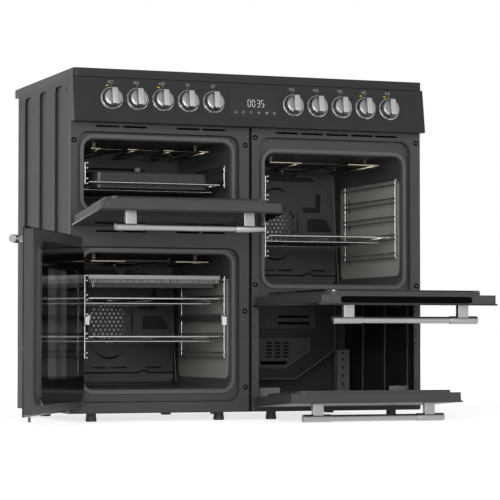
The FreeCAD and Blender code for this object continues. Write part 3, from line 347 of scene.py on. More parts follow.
panel_top_y, panel_foot_y = -17.0, -34.5
panel_top_z, panel_foot_z = 897.5, 780.5
lean = math.degrees(math.atan2(panel_top_y - panel_foot_y, panel_top_z - panel_foot_z))


def upright_plate(outline, y, rise):
    """A thin plate on an upright face at y, standing out towards the front. Points are (x, z)."""
    count = len(outline)
    vertices = [Vector((x, depth, z)) for depth in (y - rise, y + 0.2) for x, z in outline]
    faces = [tuple(range(count)), tuple(range(2 * count - 1, count - 1, -1))]
    faces += [(n, (n + 1) % count, count + (n + 1) % count, count + n) for n in range(count)]
    return vertices, faces


def block_form(x0, x1, y0, y1, z0, z1):
    corners = [Vector((x, y, z)) for z in (z0, z1) for y in (y0, y1) for x in (x0, x1)]
    return corners, [(0, 2, 3, 1), (4, 5, 7, 6), (0, 1, 5, 4), (2, 6, 7, 3), (0, 4, 6, 2),
                     (1, 3, 7, 5)]


def plain_plate(x0, x1, z0, z1, y, rise):
    return upright_plate([(x0, z0), (x1, z0), (x1, z1), (x0, z1)], y, rise)


def round_ended(x0, x1, z0, z1, y, rise, steps=6):
    """A plate with half-round ends, such as a slot's outline."""
    radius, middle = (z1 - z0) / 2, (z0 + z1) / 2
    outline = []
    for centre, start in ((x1 - radius, -90), (x0 + radius, 90)):
        for step in range(steps + 1):
            turn = math.radians(start + 180 * step / steps)
            outline.append((centre + radius * math.cos(turn), middle + radius * math.sin(turn)))
    return upright_plate(outline, y, rise)


def panel_place(x, down):
    """Local X to the right, Y up the leaning face and Z out of it, down mm below its top."""
    slope = math.radians(lean)
    corner = (x, panel_top_y - down * math.sin(slope), panel_top_z - down * math.cos(slope))
    return at(*corner) @ turned(90 - lean, "X")


def flat_bar(x0, y0, x1, y1, width, rise):
    """A thin printed bar between two points of a face, as a low block."""
    slant = math.degrees(math.atan2(y1 - y0, x1 - x0))
    bar = block_form(0, math.hypot(x1 - x0, y1 - y0), -width / 2, width / 2, 0, rise)
    return moved(bar, at(x0, y0, 0) @ turned(slant, "Z"))


def outlined(points, width, rise):
    """Printed bars round a closed outline."""
    return [flat_bar(*start, *end, width, rise)
            for start, end in zip(points, points[1:] + points[:1])]


def flat_dot(x, y, radius, rise, steps=14):
    return moved(turned_form([(radius, 0), (radius, rise), (0, rise)], steps), at(x, y, 0))


# Clock and marks: four lit digits of seven bars each, six touch marks below them, and the
# printed marks over the knobs. The marks are screen printed in light grey and amber.
def printed_ink(name, colour, roughness=0.55, grain=1.5, gloss=0.5):
    """Screen print or moulded plastic: an even colour with a fine eggshell grain, in mm."""
    material = new_material(name)
    speck = pattern(material, "TexNoise", grain, {"Detail": 3.0})
    shade = add_node(material, "Mix", {0: (speck, "Fac"), 6: linear(colour),
                                       7: linear(colour, 1.18)}, data_type="RGBA")
    bump = add_node(material, "Bump", {"Height": (speck, "Fac"), "Strength": 0.15,
                                       "Distance": 0.05 * MM})
    return finished(material, {"Base Color": (shade, 2), "Roughness": roughness,
                               "Specular IOR Level": gloss, "Normal": (bump, "Normal")})


# Holes, slots, seams and mouths are drawn as thin near-black plates: painted shade where the real
# openings are dark.
painted_gap_shade = printed_ink("painted_gap_shadow", "#060606", 0.9, gloss=0.05)
# The seam between hob and panel is a strip of painted shadow.
hob_seam_shadow = plain_plate(-497.0, 497.0, 896.7, 898.1, panel_top_y, 0.25)
add_piece("hob_panel_seam_shadow", hob_seam_shadow, painted_gap_shade)

digit_light = smooth_finish("white_clock_segments", "#c4c6ca", 0.5,
                            {"Emission Color": linear("#c4c6ca"), "Emission Strength": 0.4})
mark_ink = printed_ink("pale_grey_print", "#a9a9a9")
amber_ink = printed_ink("amber_print", "#cda30c")

digit_width, digit_height, stroke, digit_pitch = 7.4, 18.5, 1.25, 12.0
glass_rise = 0.25
# Bars a to f run clockwise from the top one, and g is the middle one.
segment_bars = {"a": (0, 1, 1, 1), "b": (1, 0.5, 1, 1), "c": (1, 0, 1, 0.5), "d": (0, 0, 1, 0),
                "e": (0, 0, 0, 0.5), "f": (0, 0.5, 0, 1), "g": (0, 0.5, 1, 0.5)}
lit_segments = {"0": "afbecd", "3": "abgcd", "5": "afgcd"}
digit_forms = []
for index, digit in enumerate("0035"):
    start = -17.5 + index * digit_pitch + (2.0 if index > 1 else 0.0)
    for segment in lit_segments[digit]:
        x0, y0, x1, y1 = segment_bars[segment]
        first = Vector((start + x0 * digit_width, y0 * digit_height))
        last = Vector((start + x1 * digit_width, y1 * digit_height))
        gap = (last - first).normalized() * 0.9
        digit_forms.append(flat_bar(*(first + gap), *(last - gap), stroke, glass_rise))
digit_foot_down = 64.0
glass_lift = at(0, 0, 1.2)
add_piece("clock_digits", moved(joined(*digit_forms), panel_place(0, digit_foot_down) @ glass_lift),
          digit_light)

touch_down, touch_radius, touch_line = 80.0, 3.0, 0.7
touch_outlines = {0: [(-3, -3), (3, -3), (1.35, 3), (-1.35, 3)],
                  1: [(-3.6, 0), (0, -3.6), (3.6, 0), (0, 3.6)],
                  5: [(-3, -3), (3, -3), (3, 0), (0, 3.6), (-3, 0)]}
touch_dots = {3: 1.05, 4: 1.8}
touch_forms = []
for index, x in enumerate((-54.0, -31.5, -10.0, 12.5, 35.0, 57.0)):
    if index in touch_outlines:
        corners = [(x + across, up) for across, up in touch_outlines[index]]
        touch_forms += outlined(corners, touch_line, glass_rise)
    else:
        touch_forms.append(flat_ring(x, 0, touch_radius, touch_line, glass_rise))
    if index in touch_dots:
        touch_forms.append(flat_dot(x, 0, touch_dots[index], glass_rise))
add_piece("clock_touch_marks", moved(joined(*touch_forms), panel_place(0, touch_down) @ glass_lift),
          mark_ink)

knob_first_x, knob_pitch = 114.0, 70.5
knob_places = sorted(side * (knob_first_x + n * knob_pitch) for side in (-1, 1) for n in range(5))
mark_down, pointer_down, pip_down, pip_left = 11.6, 20.0, 21.6, 12.0
panel_print = 0.15
mark_corners = [(-4.2, -3.2), (4.2, -3.2), (4.2, 3.2), (-4.2, 3.2)]
mark_forms = []
for index, x in enumerate(knob_places):
    spot = mark_corners[index % 4]
    mark = outlined(mark_corners, 0.6, panel_print)
    mark.append(flat_dot(spot[0] * 0.45, spot[1] * 0.4, 1.1, panel_print))
    if index not in (3, 4):
        mark += [flat_bar(-9.8, -2.6 * slant, -6.4, 2.6 * slant, 0.8, panel_print)
                 for slant in (1, -1)]
    mark_forms += [moved(joined(*mark), panel_place(x, mark_down)),
                   moved(flat_dot(0, 0, 0.9, panel_print), panel_place(x, pointer_down))]
add_piece("knob_marks", joined(*mark_forms), mark_ink)
pip_forms = [moved(flat_bar(-3.6, 0, 3.6, 0, 2.6, panel_print),
                   panel_place(knob_places[index] - pip_left, pip_down)) for index in (0, 2, 8, 9)]
add_piece("amber_pips", joined(*pip_forms), amber_ink)


# Knobs: turned zinc bodies with a raised grip bar, plated a satin silver, each inside a
# polished ring pressed into the panel.
def plated_metal(name, colour, roughness, grain=6.0):
    """Plated or polished metal. grain is the width of its handling or brush marks, in mm."""
    material = new_material(name)
    marks = pattern(material, "TexNoise", grain, {"Detail": 3.0})
    gloss = add_node(material, "MapRange", {"Value": (marks, "Fac"), "To Min": roughness - 0.04,
                                            "To Max": roughness + 0.04})
    edges = add_node(material, "Bevel", {"Radius": 0.6 * MM}, samples=4)
    return finished(material, {"Base Color": linear(colour), "Metallic": 1.0,
                               "Roughness": (gloss, "Result"), "Normal": (edges, "Normal")})


def rounded_outline(x0, x1, y0, y1, radius, steps=4):
    """Points round an oblong with round corners."""
    centres = ((x1 - radius, y1 - radius), (x0 + radius, y1 - radius),
               (x0 + radius, y0 + radius), (x1 - radius, y0 + radius))
    turns = [(centre, math.pi / 2 * (quarter + step / steps))
             for quarter, centre in enumerate(centres) for step in range(steps + 1)]
    return [(x + radius * math.cos(turn), y + radius * math.sin(turn)) for (x, y), turn in turns]


def rounded_block(width, length, height, radius, z0, taper=0.0, steps=4):
    """A block standing on z0, with round upright corners and a rounded top edge."""
    top_edge = min(radius, 1.6, 0.45 * height)
    levels = [(z0, 0.0)] + [(z0 + height - top_edge + top_edge * math.sin(math.pi / 2 * n / steps),
                             taper + top_edge * (1 - math.cos(math.pi / 2 * n / steps)))
                            for n in range(steps + 1)]
    vertices = [Vector((x, y, z)) for z, inset in levels
                for x, y in rounded_outline(inset - width / 2, width / 2 - inset,
                                            inset - length / 2, length / 2 - inset,
                                            max(radius - inset, 0.2), steps)]
    count = 4 * (steps + 1)
    rings = [range(n * count, (n + 1) * count) for n in range(len(levels))]
    faces = [(low[n], low[(n + 1) % count], high[(n + 1) % count], high[n])
             for low, high in zip(rings, rings[1:]) for n in range(count)]
    return vertices, faces + [tuple(rings[-1]), tuple(reversed(rings[0]))]


# The knob bodies take a darker copy of the plating and the grips a lighter one: painted shade and
# painted highlight.
body_shade_silver = plated_metal("painted_shade_satin_plate", "#9c9d9d", 0.30)
grip_highlight_silver = plated_metal("painted_highlight_satin_plate", "#b9bab9", 0.36)
polished_chrome = plated_metal("polished_chrome", "#b9bbbb", 0.12)
# A near-black ring in each well is painted shadow in the gap between knob and bezel.
well_shadow_black = printed_ink("painted_well_shadow", "#191919")
knob_down = 55.0
knob_form = turned_form([(0, 0.6), (25.0, 0.6), (25.0, 2.6), (24.2, 13.0), (23.4, 15.4),
                         (21.8, 16.7), (16.0, 17.1), (0, 17.3)], 56)
grip_form = joined(rounded_block(17.0, 45.6, 18.0, 4.0, 13.0, 0.9),
                   moved(rounded_block(1.2, 7.0, 0.25, 0.5, 31.0), at(0, 15.0, 0)))
bezel_profile = [(31.0, 0), (30.6, 1.2), (29.0, 2.2), (28.8, 3.6), (28.2, 4.4), (27.2, 4.4),
                 (26.6, 3.8), (26.4, 2.6), (26.4, 0), (31.0, 0)]
well_profile = [(26.4, 0), (26.4, 0.5), (25.0, 0.5), (25.0, 0), (26.4, 0)]
knob_seats = [panel_place(x, knob_down) for x in knob_places]
for number, seat in enumerate(knob_seats, start=1):
    body = "knob_%02d" % number
    for part, form, plating in (("body", knob_form, body_shade_silver),
                                ("grip", grip_form, grip_highlight_silver)):
        piece = add_piece("%s_%s" % (body, part), moved(form, seat), plating, body)
        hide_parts("control_" + body)
bezels = add_piece("knob_bezel_rings", copies(turned_form(bezel_profile, 64), knob_seats),
                   polished_chrome)
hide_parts("knob_bezels")
add_piece("knob_wells", copies(turned_form(well_profile, 48), knob_seats), well_shadow_black)
switch_plastic = printed_ink("black_switch_plastic", "#242424")
dress(switch_plastic, "rotary_switches")


# Front fittings: blackened screws hold the pressed fronts, a row of holes runs down each
# storage stile, and a gap in each row of cooling slots is pressed shut.
screw_steel = plated_metal("blackened_screw", "#55565a", 0.4)
screw_profile = [(0, 1.6), (2.6, 1.5), (3.2, 1.0), (3.4, 0.5)]
ring_profile = [(3.4, 0.3), (3.8, 1.2), (6.1, 1.2), (6.9, 0.6), (6.9, -0.3), (3.4, -0.3),
                (3.4, 0.3)]
front_screws = [(-491, 733), (-15, 733), (-14.8, 87.2), (-16.3, 290), (13.8, 755), (487.5, 754.5),
                (13.8, 361), (488, 361)]
screw_places = [at(x, 0, z) @ turned(90, "X") for x, z in front_screws]
recess_floor_y = 14.0
recess_places = [at(x, recess_floor_y, 748) @ turned(90, "X") for x in (-466.5, -46.8)]
recess_screw = turned_form([(0, 2.2), (2.6, 2.0), (3.3, 1.2), (3.3, 0)], 20)
screws = joined(copies(turned_form(screw_profile, 20), screw_places),
                copies(recess_screw, recess_places))
add_piece("front_screws", screws, screw_steel)
# Each screw sits in a ring of painted shade.
add_piece("front_screw_rings", copies(turned_form(ring_profile, 24), screw_places), painted_gap_shade)
stile_holes = [(485, z, 2.2) for z in (290, 273, 262, 243, 234, 222, 204, 191, 176, 96, 87, 76)]
stile_holes += [(13.4, z, 1.8) for z in (252.6, 222.8, 113.6, 86.9)]
stile_holes += [(-16.2, z, 1.4) for z in (375, 320.5, 273.8, 222.8, 174)]
stile_holes += [(x, z, 1.6) for x, z in ((-483, 499.7), (-466, 498), (-449, 498))]
stile_holes += [(489.5, z, 1.3) for z in (700, 640, 600, 520, 470, 410)]
# The holes are plates of painted shade.
holes = [round_ended(x - r, x + r, z - r, z + r, 0, 0.12) for x, z, r in stile_holes]
# One slot in each row of cooling slots is drawn as a plate of painted shade.
slot_rows, slot_half_height = (771.3, 497.0), 2.5
holes += [round_ended(-432.5, -367.5, z - slot_half_height, z + slot_half_height, 0, 0.12)
          for z in slot_rows]
add_piece("stile_holes", joined(*holes), painted_gap_shade)
blank_half_height = 4.0
blank = [round_ended(-287.0, -218.0, z - blank_half_height, z + blank_half_height, 0, 0.35)
         for z in slot_rows]
add_piece("cooling_slot_blanks", joined(*blank), anthracite_coat)
# The slots at the top of each side sheet are plates of painted shade.
side_slots = [block_form(-500.12, -499.9, y - 2.2, y + 2.2, 860.0, 875.0) for y in (41.5, 493.4)]
add_piece("side_panel_slots", joined(*side_slots), painted_gap_shade)

# Oven cavities: deep-drawn steel boxes in dark vitreous enamel, a glassy coat with a soft
# ripple. A grey silicone-coated glass braid seals each mouth.
oven_glaze = coated_steel("dark_vitreous_enamel", "#444444", 0.30, peel=2.2, relief=0.12)
dress(oven_glaze, "grill_oven_liner", "main_oven_liner", "tall_oven_liner", "fan_covers")
seal_grey = printed_ink("grey_silicone_seal", "#4d4e4f")
dress(seal_grey, "door_seals")


# Catalytic side liners: thin sheets with a porous coat that burns off grease, matt and
# gritty, with a faint brown cast.
def gritty_coat(name, colour, grit=1.1):
    material = new_material(name)
    grains = pattern(material, "TexNoise", grit, {"Detail": 4.0})
    shade = add_node(material, "Mix", {0: (grains, "Fac"), 6: linear(colour, 0.6),
                                       7: linear(colour, 1.5)}, data_type="RGBA")
    bump = add_node(material, "Bump", {"Height": (grains, "Fac"), "Strength": 0.5,
                                       "Distance": 0.2 * MM})
    return finished(material, {"Base Color": (shade, 2), "Roughness": 0.75,
                               "Normal": (bump, "Normal")})


catalytic_coat = gritty_coat("catalytic_enamel", "#9a9892")
dress(catalytic_coat, "catalytic_liners")


# Lamps, fans and elements. The lamp has a frosted borosilicate cap, the fan is pressed
# from bright aluminised steel, and the elements are stainless tubes tinted by their heat.
lamp_cap = smooth_finish("frosted_lamp_glass", "#f2efe6", 0.35,
                         {"IOR": 1.47, "Transmission Weight": 0.6})
dress(lamp_cap, "oven_lamps")
bright_fan = plated_metal("aluminised_steel", "#f2f2f0", 0.42)
dress(bright_fan, "main_oven_fan", "tall_oven_fan")
heat_tint = plated_metal("heat_tinted_steel", "#b3a894", 0.26)


def bent(points, bend, steps=6):
    """Straight runs with each corner turned on an arc."""
    points = [Vector(p) for p in points]
    path = [points[0]]
    for before, corner, after in zip(points, points[1:], points[2:]):
        back, ahead = (before - corner).normalized(), (after - corner).normalized()
        half = back.angle(ahead) / 2
        reach = bend / math.tan(half)
        centre = corner + (back + ahead).normalized() * bend / math.sin(half)
        first = corner + back * reach - centre
        last = corner + ahead * reach - centre
        for step in range(steps + 1):
            path.append(centre + first.slerp(last, step / steps))
    return path + [points[-1]]


def add_wires(name, runs, material, body="carcass"):
    """Round wires or tubes, each a path in mm with its radius, as one curve piece."""
    curve = bpy.data.curves.new(name, "CURVE")
    curve.dimensions, curve.bevel_depth, curve.bevel_resolution = "3D", MM, 3
    curve.use_fill_caps = True
    for path, radius in runs:
        spline = curve.splines.new("POLY")
        spline.points.add(len(path) - 1)
        for point, place in zip(spline.points, path):
            point.co = (*(Vector(place) * MM), 1)
            point.radius = radius
    curve.materials.append(material)
    piece = add_object(name, curve)
    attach(piece, body)
    return piece


class Cavity:
    """The clear inside of one oven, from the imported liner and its 1.5 mm walls."""

    def __init__(self, liner):
        wall = 1.5
        low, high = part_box(liner)
        self.x0, self.x1 = low[0] / MM + wall, high[0] / MM - wall
        self.z0, self.z1 = low[2] / MM + wall, high[2] / MM - wall
        self.rear_y = high[1] / MM - wall
        self.centre_x = (self.x0 + self.x1) / 2

    def wall_x(self, side, inward):
        return self.x0 + inward if side < 0 else self.x1 - inward


grill, main, tall = [Cavity(name + "_oven_liner") for name in ("grill", "main", "tall")]
element_radius, element_drop, element_side, element_bend = 3.3, 19.0, 26.0, 14.0
element_front_y, element_rear_y = 62.0, 400.0
strap_width, hanger_inset = 8.0, 60.0
element_paths, strap_forms = [], []
for cavity, legs in ((grill, 8), (main, 4), (tall, 4)):
    z = cavity.z1 - element_drop
    x0, x1 = cavity.wall_x(-1, element_side), cavity.wall_x(1, element_side)
    path = [(x0, cavity.rear_y, z)]
    for leg in range(legs):
        x = x0 + leg * (x1 - x0) / (legs - 1)
        ends = (element_rear_y, element_front_y)[::-1 if leg % 2 else 1]
        path += [(x, y, z) for y in ends]
    path = [path[0]] + path[2:-1] + [(x1, cavity.rear_y, z)]
    element_paths.append(bent(path, element_bend))
    strap_z = z + element_radius - 1.3
    for y in (element_front_y + hanger_inset, element_rear_y - hanger_inset):
        strap_forms.append(block_form(x0 - element_radius, x1 + element_radius, y, y + strap_width,
                                      strap_z, strap_z + 1.5))
        for side in (-1, 1):
            x = cavity.wall_x(side, hanger_inset)
            strap_forms.append(block_form(x - strap_width / 2, x + strap_width / 2, y, y + 1.5,
                                          strap_z, cavity.z1))
fan_centres = [(main, main.centre_x, 264.0), (tall, tall.centre_x, 548.0)]
full_turn = [(math.cos(math.pi * n / 32), math.sin(math.pi * n / 32)) for n in range(65)]
ring_radius, ring_y = 84.0, 460.0
for cavity, x, z in fan_centres:
    element_paths.append([(x + ring_radius * along, ring_y, z + ring_radius * up)
                          for along, up in full_turn])
    for side in (-1, 1):
        leg_x, leg_z = x + side * ring_radius / 2, z + ring_radius * math.sqrt(0.75)
        element_paths.append([(leg_x, y, leg_z) for y in (ring_y, cavity.rear_y)])
tubes = add_wires("heating_tubes", [(path, element_radius) for path in element_paths], heat_tint)
strap_steel = plated_metal("scaled_strap_steel", "#5e5a52", 0.4)
straps = add_piece("element_straps", joined(*strap_forms), strap_steel)
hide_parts("heating_elements")
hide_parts("heating_elements")

# Side racks: bright chromed wires, welded in pairs to two uprights and hooked to the wall.
rack_wire, rack_from_wall = 2.0, 12.0
rack_front_y, rack_rear_y, wire_ends = 34.0, 379.0, (22.0, 391.0)
rack_pair, rack_pitch = 13.2, 50.4
rack_paths = []
for cavity, first_z, pitch, levels in ((grill, 622.0, 41.0, 2), (main, 166.6, rack_pitch, 5),
                                       (tall, 439.0, rack_pitch, 5)):
    top_z = first_z + (levels - 1) * pitch + rack_pair
    for side in (-1, 1):
        wire_x = cavity.wall_x(side, rack_from_wall)
        upright_x = cavity.wall_x(side, rack_from_wall - 1.5 * rack_wire)
        wall_x = cavity.wall_x(side, 0.5)
        for level in range(levels):
            low = first_z + level * pitch
            rack_paths += [[(wire_x, y, z) for y in wire_ends] for z in (low, low + rack_pair)]
        for y in (rack_front_y, rack_rear_y):
            rack_paths.append([(upright_x, y, z) for z in (first_z - rack_wire, top_z + rack_wire)])
            rack_paths += [[(x, y, z) for x in (upright_x, wall_x)]
                           for z in (first_z + rack_pair / 2, top_z - rack_pair / 2)]
bright_wire = plated_metal("bright_chromed_wire", "#bcbcb8", 0.26)
racks = add_wires("side_rack_wires", [(path, rack_wire) for path in rack_paths], bright_wire)
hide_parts("side_racks")


# Pressed forms of the liners: a bead frames each rear wall, and each fan cover has a groove
# round its oval, an angled duct bead, a pocket and a stepped foot, all in the same enamel.
# They are drawn in a paler and a darker copy of it: painted highlight on the beads and high
# edges, and painted shade, nearly black, in the grooves and hollows.
def wall_path(points, y, x=0, z=0):
    """A path on an upright wall at y, with x and z as its origin."""
    return [(x + along, y, z + up) for along, up in points]


bead_highlight_enamel = coated_steel("painted_highlight_enamel", "#5b5b5a", 0.35)
shadow_enamel = coated_steel("deep_shadow_enamel", "#161616", 0.5)
bead_highlight_runs, groove_shadow_runs, cover_shadow_plates = [], [], []
cover_face_y = 440.0
for cavity, plane_y in ((grill, grill.rear_y), (main, cover_face_y), (tall, cover_face_y)):
    right, top = cavity.x1 - 4.5, cavity.z1 - 7.0
    bead = [(right, cavity.z0 + 14), (right, top), (right - 60, top)]
    bead_highlight_runs.append((bent(wall_path(bead, plane_y), 20.0), 2.0))
pocket = [(97, -23), (172, -23), (176, -17), (157, 14), (152, 17), (102, 17), (98, 13)]
duct = [(84, 33), (134, 33), (141, 41), (141, 88), (124, 88), (124, 50), (84, 50)]
for cavity, x, z in fan_centres:
    left, right, foot = cavity.x0 + 12 - x, cavity.x1 - 12 - x, cavity.z0 - z
    oval = [(67 * along, 103 * up) for along, up in full_turn]
    step = [(left, foot + 36), (84, foot + 36), (104, foot + 43), (119, foot + 36),
            (right, foot + 36)]
    groove_shadow_runs += [(wall_path(oval, cover_face_y, x, z), 3.0),
                    (wall_path(step, cover_face_y, x, z), 2.6)]
    rim = [(left, foot + 21), (-58, foot + 21), (-49, foot + 29), (54, foot + 29), (64, foot + 21),
           (right - 2, foot + 21)]
    bead_highlight_runs += [(wall_path(rim, cover_face_y, x, z), 1.3),
                  (wall_path(pocket[:3], cover_face_y - 1, x, z), 1.2),
                  (wall_path(duct[:4], cover_face_y - 1, x, z), 1.2),
                  (bent([(x + 62, 437.0, z + 140), (x + 92, 436.0, z + 148),
                         (x + 110, 436.0, z + 146), (x + 182, 437.0, z + 98)], 8.0), 2.6)]
    hollow = [(left + 2, 124), (112, 124), (128, 134), (62, 146), (52, 146), (34, 130), (16, 146),
              (left + 2, 146)]
    cover_shadow_plates += [moved(upright_plate(outline, cover_face_y, rise), at(x, 0, z))
                    for outline, rise in ((hollow, 0.8), (duct, 1.2), (pocket, 1.2))]
add_wires("liner_bead_highlights", bead_highlight_runs, bead_highlight_enamel)
add_wires("cover_groove_shadows", groove_shadow_runs, shadow_enamel)
add_piece("cover_pressing_shadows", joined(*cover_shadow_plates), shadow_enamel)

# Keyholes in the catalytic sheets take the racks' hooks. Each is drawn as a plate of painted shade.
keyholes = []
sheet_face = 1.7
for cavity, levels in ((main, (166.6, 217.0, 267.4, 317.8)),
                       (tall, (439.0, 489.4, 539.8, 590.2, 613.0))):
    for side in (-1, 1):
        x = cavity.wall_x(side, sheet_face)
        for z in levels:
            place = at(x, 366.5, z - 4.0) @ turned(-90 * side, "Z") @ turned(90, "Y")
            keyholes.append(moved(round_ended(-9.0, 9.0, -2.4, 2.4, 0, 0.3), place))
add_piece("rack_keyholes", joined(*keyholes), painted_gap_shade)

white_ceramic = printed_ink("white_ceramic_clip", "#cfccc2", 0.5)
probe_dark = plated_metal("oxidised_probe_tube", "#2c2b29", 0.45)
probe_y = 428.0
probe_bend = wall_path([(-172, 692), (-160, 695), (-147, 685), (-136, 668)], probe_y)
probe_runs = [(wall_path([(grill.x0, 693.6), (-184, 693.2)], probe_y), 2.6),
              (bent(probe_bend + [(-136, grill.rear_y, 660)], 6.0), 2.4)]
add_wires("probe_tube", probe_runs, probe_dark)
clip_form = moved(rounded_block(16.0, 9.0, 11.0, 2.0, 687.5), at(-179.0, probe_y, 0))
add_piece("probe_clip", clip_form, white_ceramic)


# Wire shelves: a thick frame wire bent round each shelf, and a welded grid that hangs lower
# inside it, all chromed together.
def shelf_runs(cavity, bar_z, drop):
    bar, wire, inset, corner, pitch = 2.8, 1.2, 9.0, 8.0, 10.0
    x0, x1 = cavity.wall_x(-1, 14.0), cavity.wall_x(1, 14.0)
    y0, y1, grid_y0 = 30.0, 398.0, 95.0
    middle = (x0 + x1) / 2
    loop = [(middle, y0, bar_z), (x0, y0, bar_z), (x0, y1, bar_z), (x1, y1, bar_z),
            (x1, y0, bar_z), (middle, y0, bar_z)]
    runs = [(bent(loop, corner), bar)]
    low_x0, low_x1, low_z = x0 + inset, x1 - inset, bar_z - drop
    runs += [([(low_x0, y, low_z), (low_x1, y, low_z)], bar - 0.5) for y in (grid_y0, y1 - bar)]
    count = int((y1 - bar - grid_y0) // pitch)
    for n in range(1, count):
        y = grid_y0 + n * (y1 - bar - grid_y0) / count
        runs.append(([(low_x0, y, low_z + wire), (low_x1, y, low_z + wire)], wire))
    for x in (low_x0 + 14.0, middle, low_x1 - 14.0):
        runs.append((bent([(x, y0, bar_z), (x, grid_y0 - 12.0, low_z), (x, y1 - 14.0, low_z),
                           (x, y1, bar_z)], 8.0), bar - 0.8))
    return runs


for node, body, cavity, bar_z, drop in (
        ("grill_shelf", "grill_shelf", grill, 627.3, 16.5),
        ("main_oven_shelf_upper", "upper_shelf", main, 323.1, 12.5),
        ("main_oven_shelf_lower", "lower_shelf", main, 222.3, 12.5),
        ("tall_oven_shelf", "tall_shelf", tall, 494.7, 12.5)):
    shelf = add_wires(node + "_wires", shelf_runs(cavity, bar_z, drop), bright_wire, body)
    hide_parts(node)

# Trays: pressed pans in glossy dark enamel. A chromed grid lies on the roasting tray, with
# its wires turned down over the front rim.
tray_glaze = coated_steel("glossy_tray_enamel", "#303031", 0.22, peel=2.0, relief=0.08)
dress(tray_glaze, "grill_tray", "roasting_tray")
grid_z, grid_x0, grid_x1 = 375.0, main.wall_x(-1, 24.0), main.wall_x(1, 24.0)
grid_front_y, grid_rear_y, grid_turn_down, grid_pitch = 38.0, 400.0, 12.0, 5.0
grid_runs = [([(grid_x0 - 3, y, grid_z), (grid_x1 + 3, y, grid_z)], 2.6) for y in (44.0, 398.0)]
grid_runs.append((bent(wall_path([(grid_x0 + 6, grid_z), (grid_x0 + 14, grid_z + 8),
                                  (grid_x1 - 14, grid_z + 8), (grid_x1 - 6, grid_z)], 398.0),
                       4.0), 2.0))
grid_count = int((grid_x1 - grid_x0) // grid_pitch)
for n in range(grid_count + 1):
    x = grid_x0 + n * (grid_x1 - grid_x0) / grid_count
    wire = 1.2
    path = [(x, grid_front_y, grid_z), (x, grid_front_y, grid_z - grid_turn_down)]
    if n % 4 == 0:
        path = bent([(x, grid_rear_y, grid_z + 1.8), (x, grid_front_y, grid_z + 1.8), path[1]], 3.0)
        wire = 1.5
    grid_runs.append((path, wire))
rim_bar = block_form(grid_x0 - 4, grid_x1 + 4, 35.4, 37.0, grid_z - 1.0, grid_z + 9.0)
grid_steel = plated_metal("satin_grid_wire", "#8b8b88", 0.34)
front_bar = add_piece("tray_grid_front_bar", rim_bar, grid_steel, "roasting_tray")
grid_wires = add_wires("tray_grid_wires", grid_runs, grid_steel, "roasting_tray")
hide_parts("tray_grid")
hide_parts("tray_grid")

# Telescopic runners: rolled stainless channels and slides, with white plastic stops that
# clip them to the front upright of each rack.
runner_steel = plated_metal("rolled_stainless", "#8f9091", 0.34)
dress(runner_steel, "runner_rails", "runner_slides")
white_plastic = printed_ink("white_nylon", "#e9e9e6")
clip_forms = [moved(rounded_block(13.0, 8.0, 22.0, 1.8, 253.0),
                    at(main.wall_x(side, 12.0), rack_front_y - 9.0, 0))
              for side in (-1, 1)]
add_piece("runner_stop_clips", joined(*clip_forms), white_plastic)


# Doors: a folded pan in anthracite coat with a raised inner part, and a clear pane on each
# face. The panes are float glass, mirror-smooth, and see-through inside their black borders.
door_coat = coated_steel("door_powder_coat", "#3d3d3d", 0.40)
dress(door_coat, "grill_door_frame", "main_door_frame", "tall_door_frame", "storage_flap_panel",
      "storage_flap_liner")
door_pane = smooth_finish("clear_door_glass", "#eef2f1", 0.03,
                          {"IOR": glass_ior, "Transmission Weight": 1.0}, 0.8)
dress(door_pane, "grill_door_glass", "main_door_glass", "tall_door_glass")


# Bar handles: a satin anodised tube with a turned sleeve at each end, on two flat posts
# that are screwed through the door's outer glass.
outer_face_y, handle_axis_y = -30.0, -67.0


def handle_form(centre_x, z):
    half, bar, sleeve, length, spread = 200.0, 8.5, 10.0, 78.0, 158.5
    profile = [(0, -half), (6.2, -half), (6.2, -half + 0.5), (7.0, -half + 0.5), (7.0, -half),
               (8.8, -half), (10.0, -half + 1.4), (sleeve, length - half - 1.2),
               (9.4, length - half), (bar, length - half), (bar, 0)]
    profile += [(radius, -height) for radius, height in reversed(profile[:-1])]
    tube = moved(turned_form(profile, 40), at(centre_x, handle_axis_y, z) @ turned(90, "Y"))
    post = rounded_block(29.0, 15.0, outer_face_y - handle_axis_y, 1.4, 0.0)
    feet = [at(centre_x + side * spread, outer_face_y, z) @ turned(90, "X") for side in (-1, 1)]
    return joined(tube, copies(post, feet))


# Door prints and fixings: a fired black border on each pane leaves a clear window, two
# screws close each end of a pan, and the tall door draws its cooling air at the top.
def border_form(outline, window, y, thick, corner):
    """A printed border that wraps its pane's edges, with a window left out."""
    x0, x1, z0, z1 = outline
    wrap = 0.05
    outer = rounded_outline(x0 - wrap, x1 + wrap, z0 - wrap, z1 + wrap, corner + wrap)
    inner = rounded_outline(*window, 12.0)
    count = len(outer)
    vertices = [Vector((x, depth, z)) for depth in (y, y + thick) for x, z in outer + inner]
    faces = []
    for n in range(count):
        m = (n + 1) % count
        faces += [(n, m, count + m, count + n),
                  (2 * count + n, 3 * count + n, 3 * count + m, 2 * count + m),
                  (n, 2 * count + n, 2 * count + m, m),
                  (count + n, count + m, 3 * count + m, 3 * count + n)]
    return vertices, faces


anodised = plated_metal("satin_anodised_aluminium", "#a2a2a1", 0.34, grain=1.2)
pane_print = smooth_finish("black_ceramic_print", "#0a0a0a", 0.07, {"IOR": glass_ior}, ground_edge)
pan_screw = turned_form([(0, 0.1), (3.0, 0.1), (3.4, 0)], 20)
outer_corner, inner_corner, window_inset = 4.0, 28.0, 62.0
pan_inset, screw_in, pan_middle_y = 6.0, 14.0, -15.0


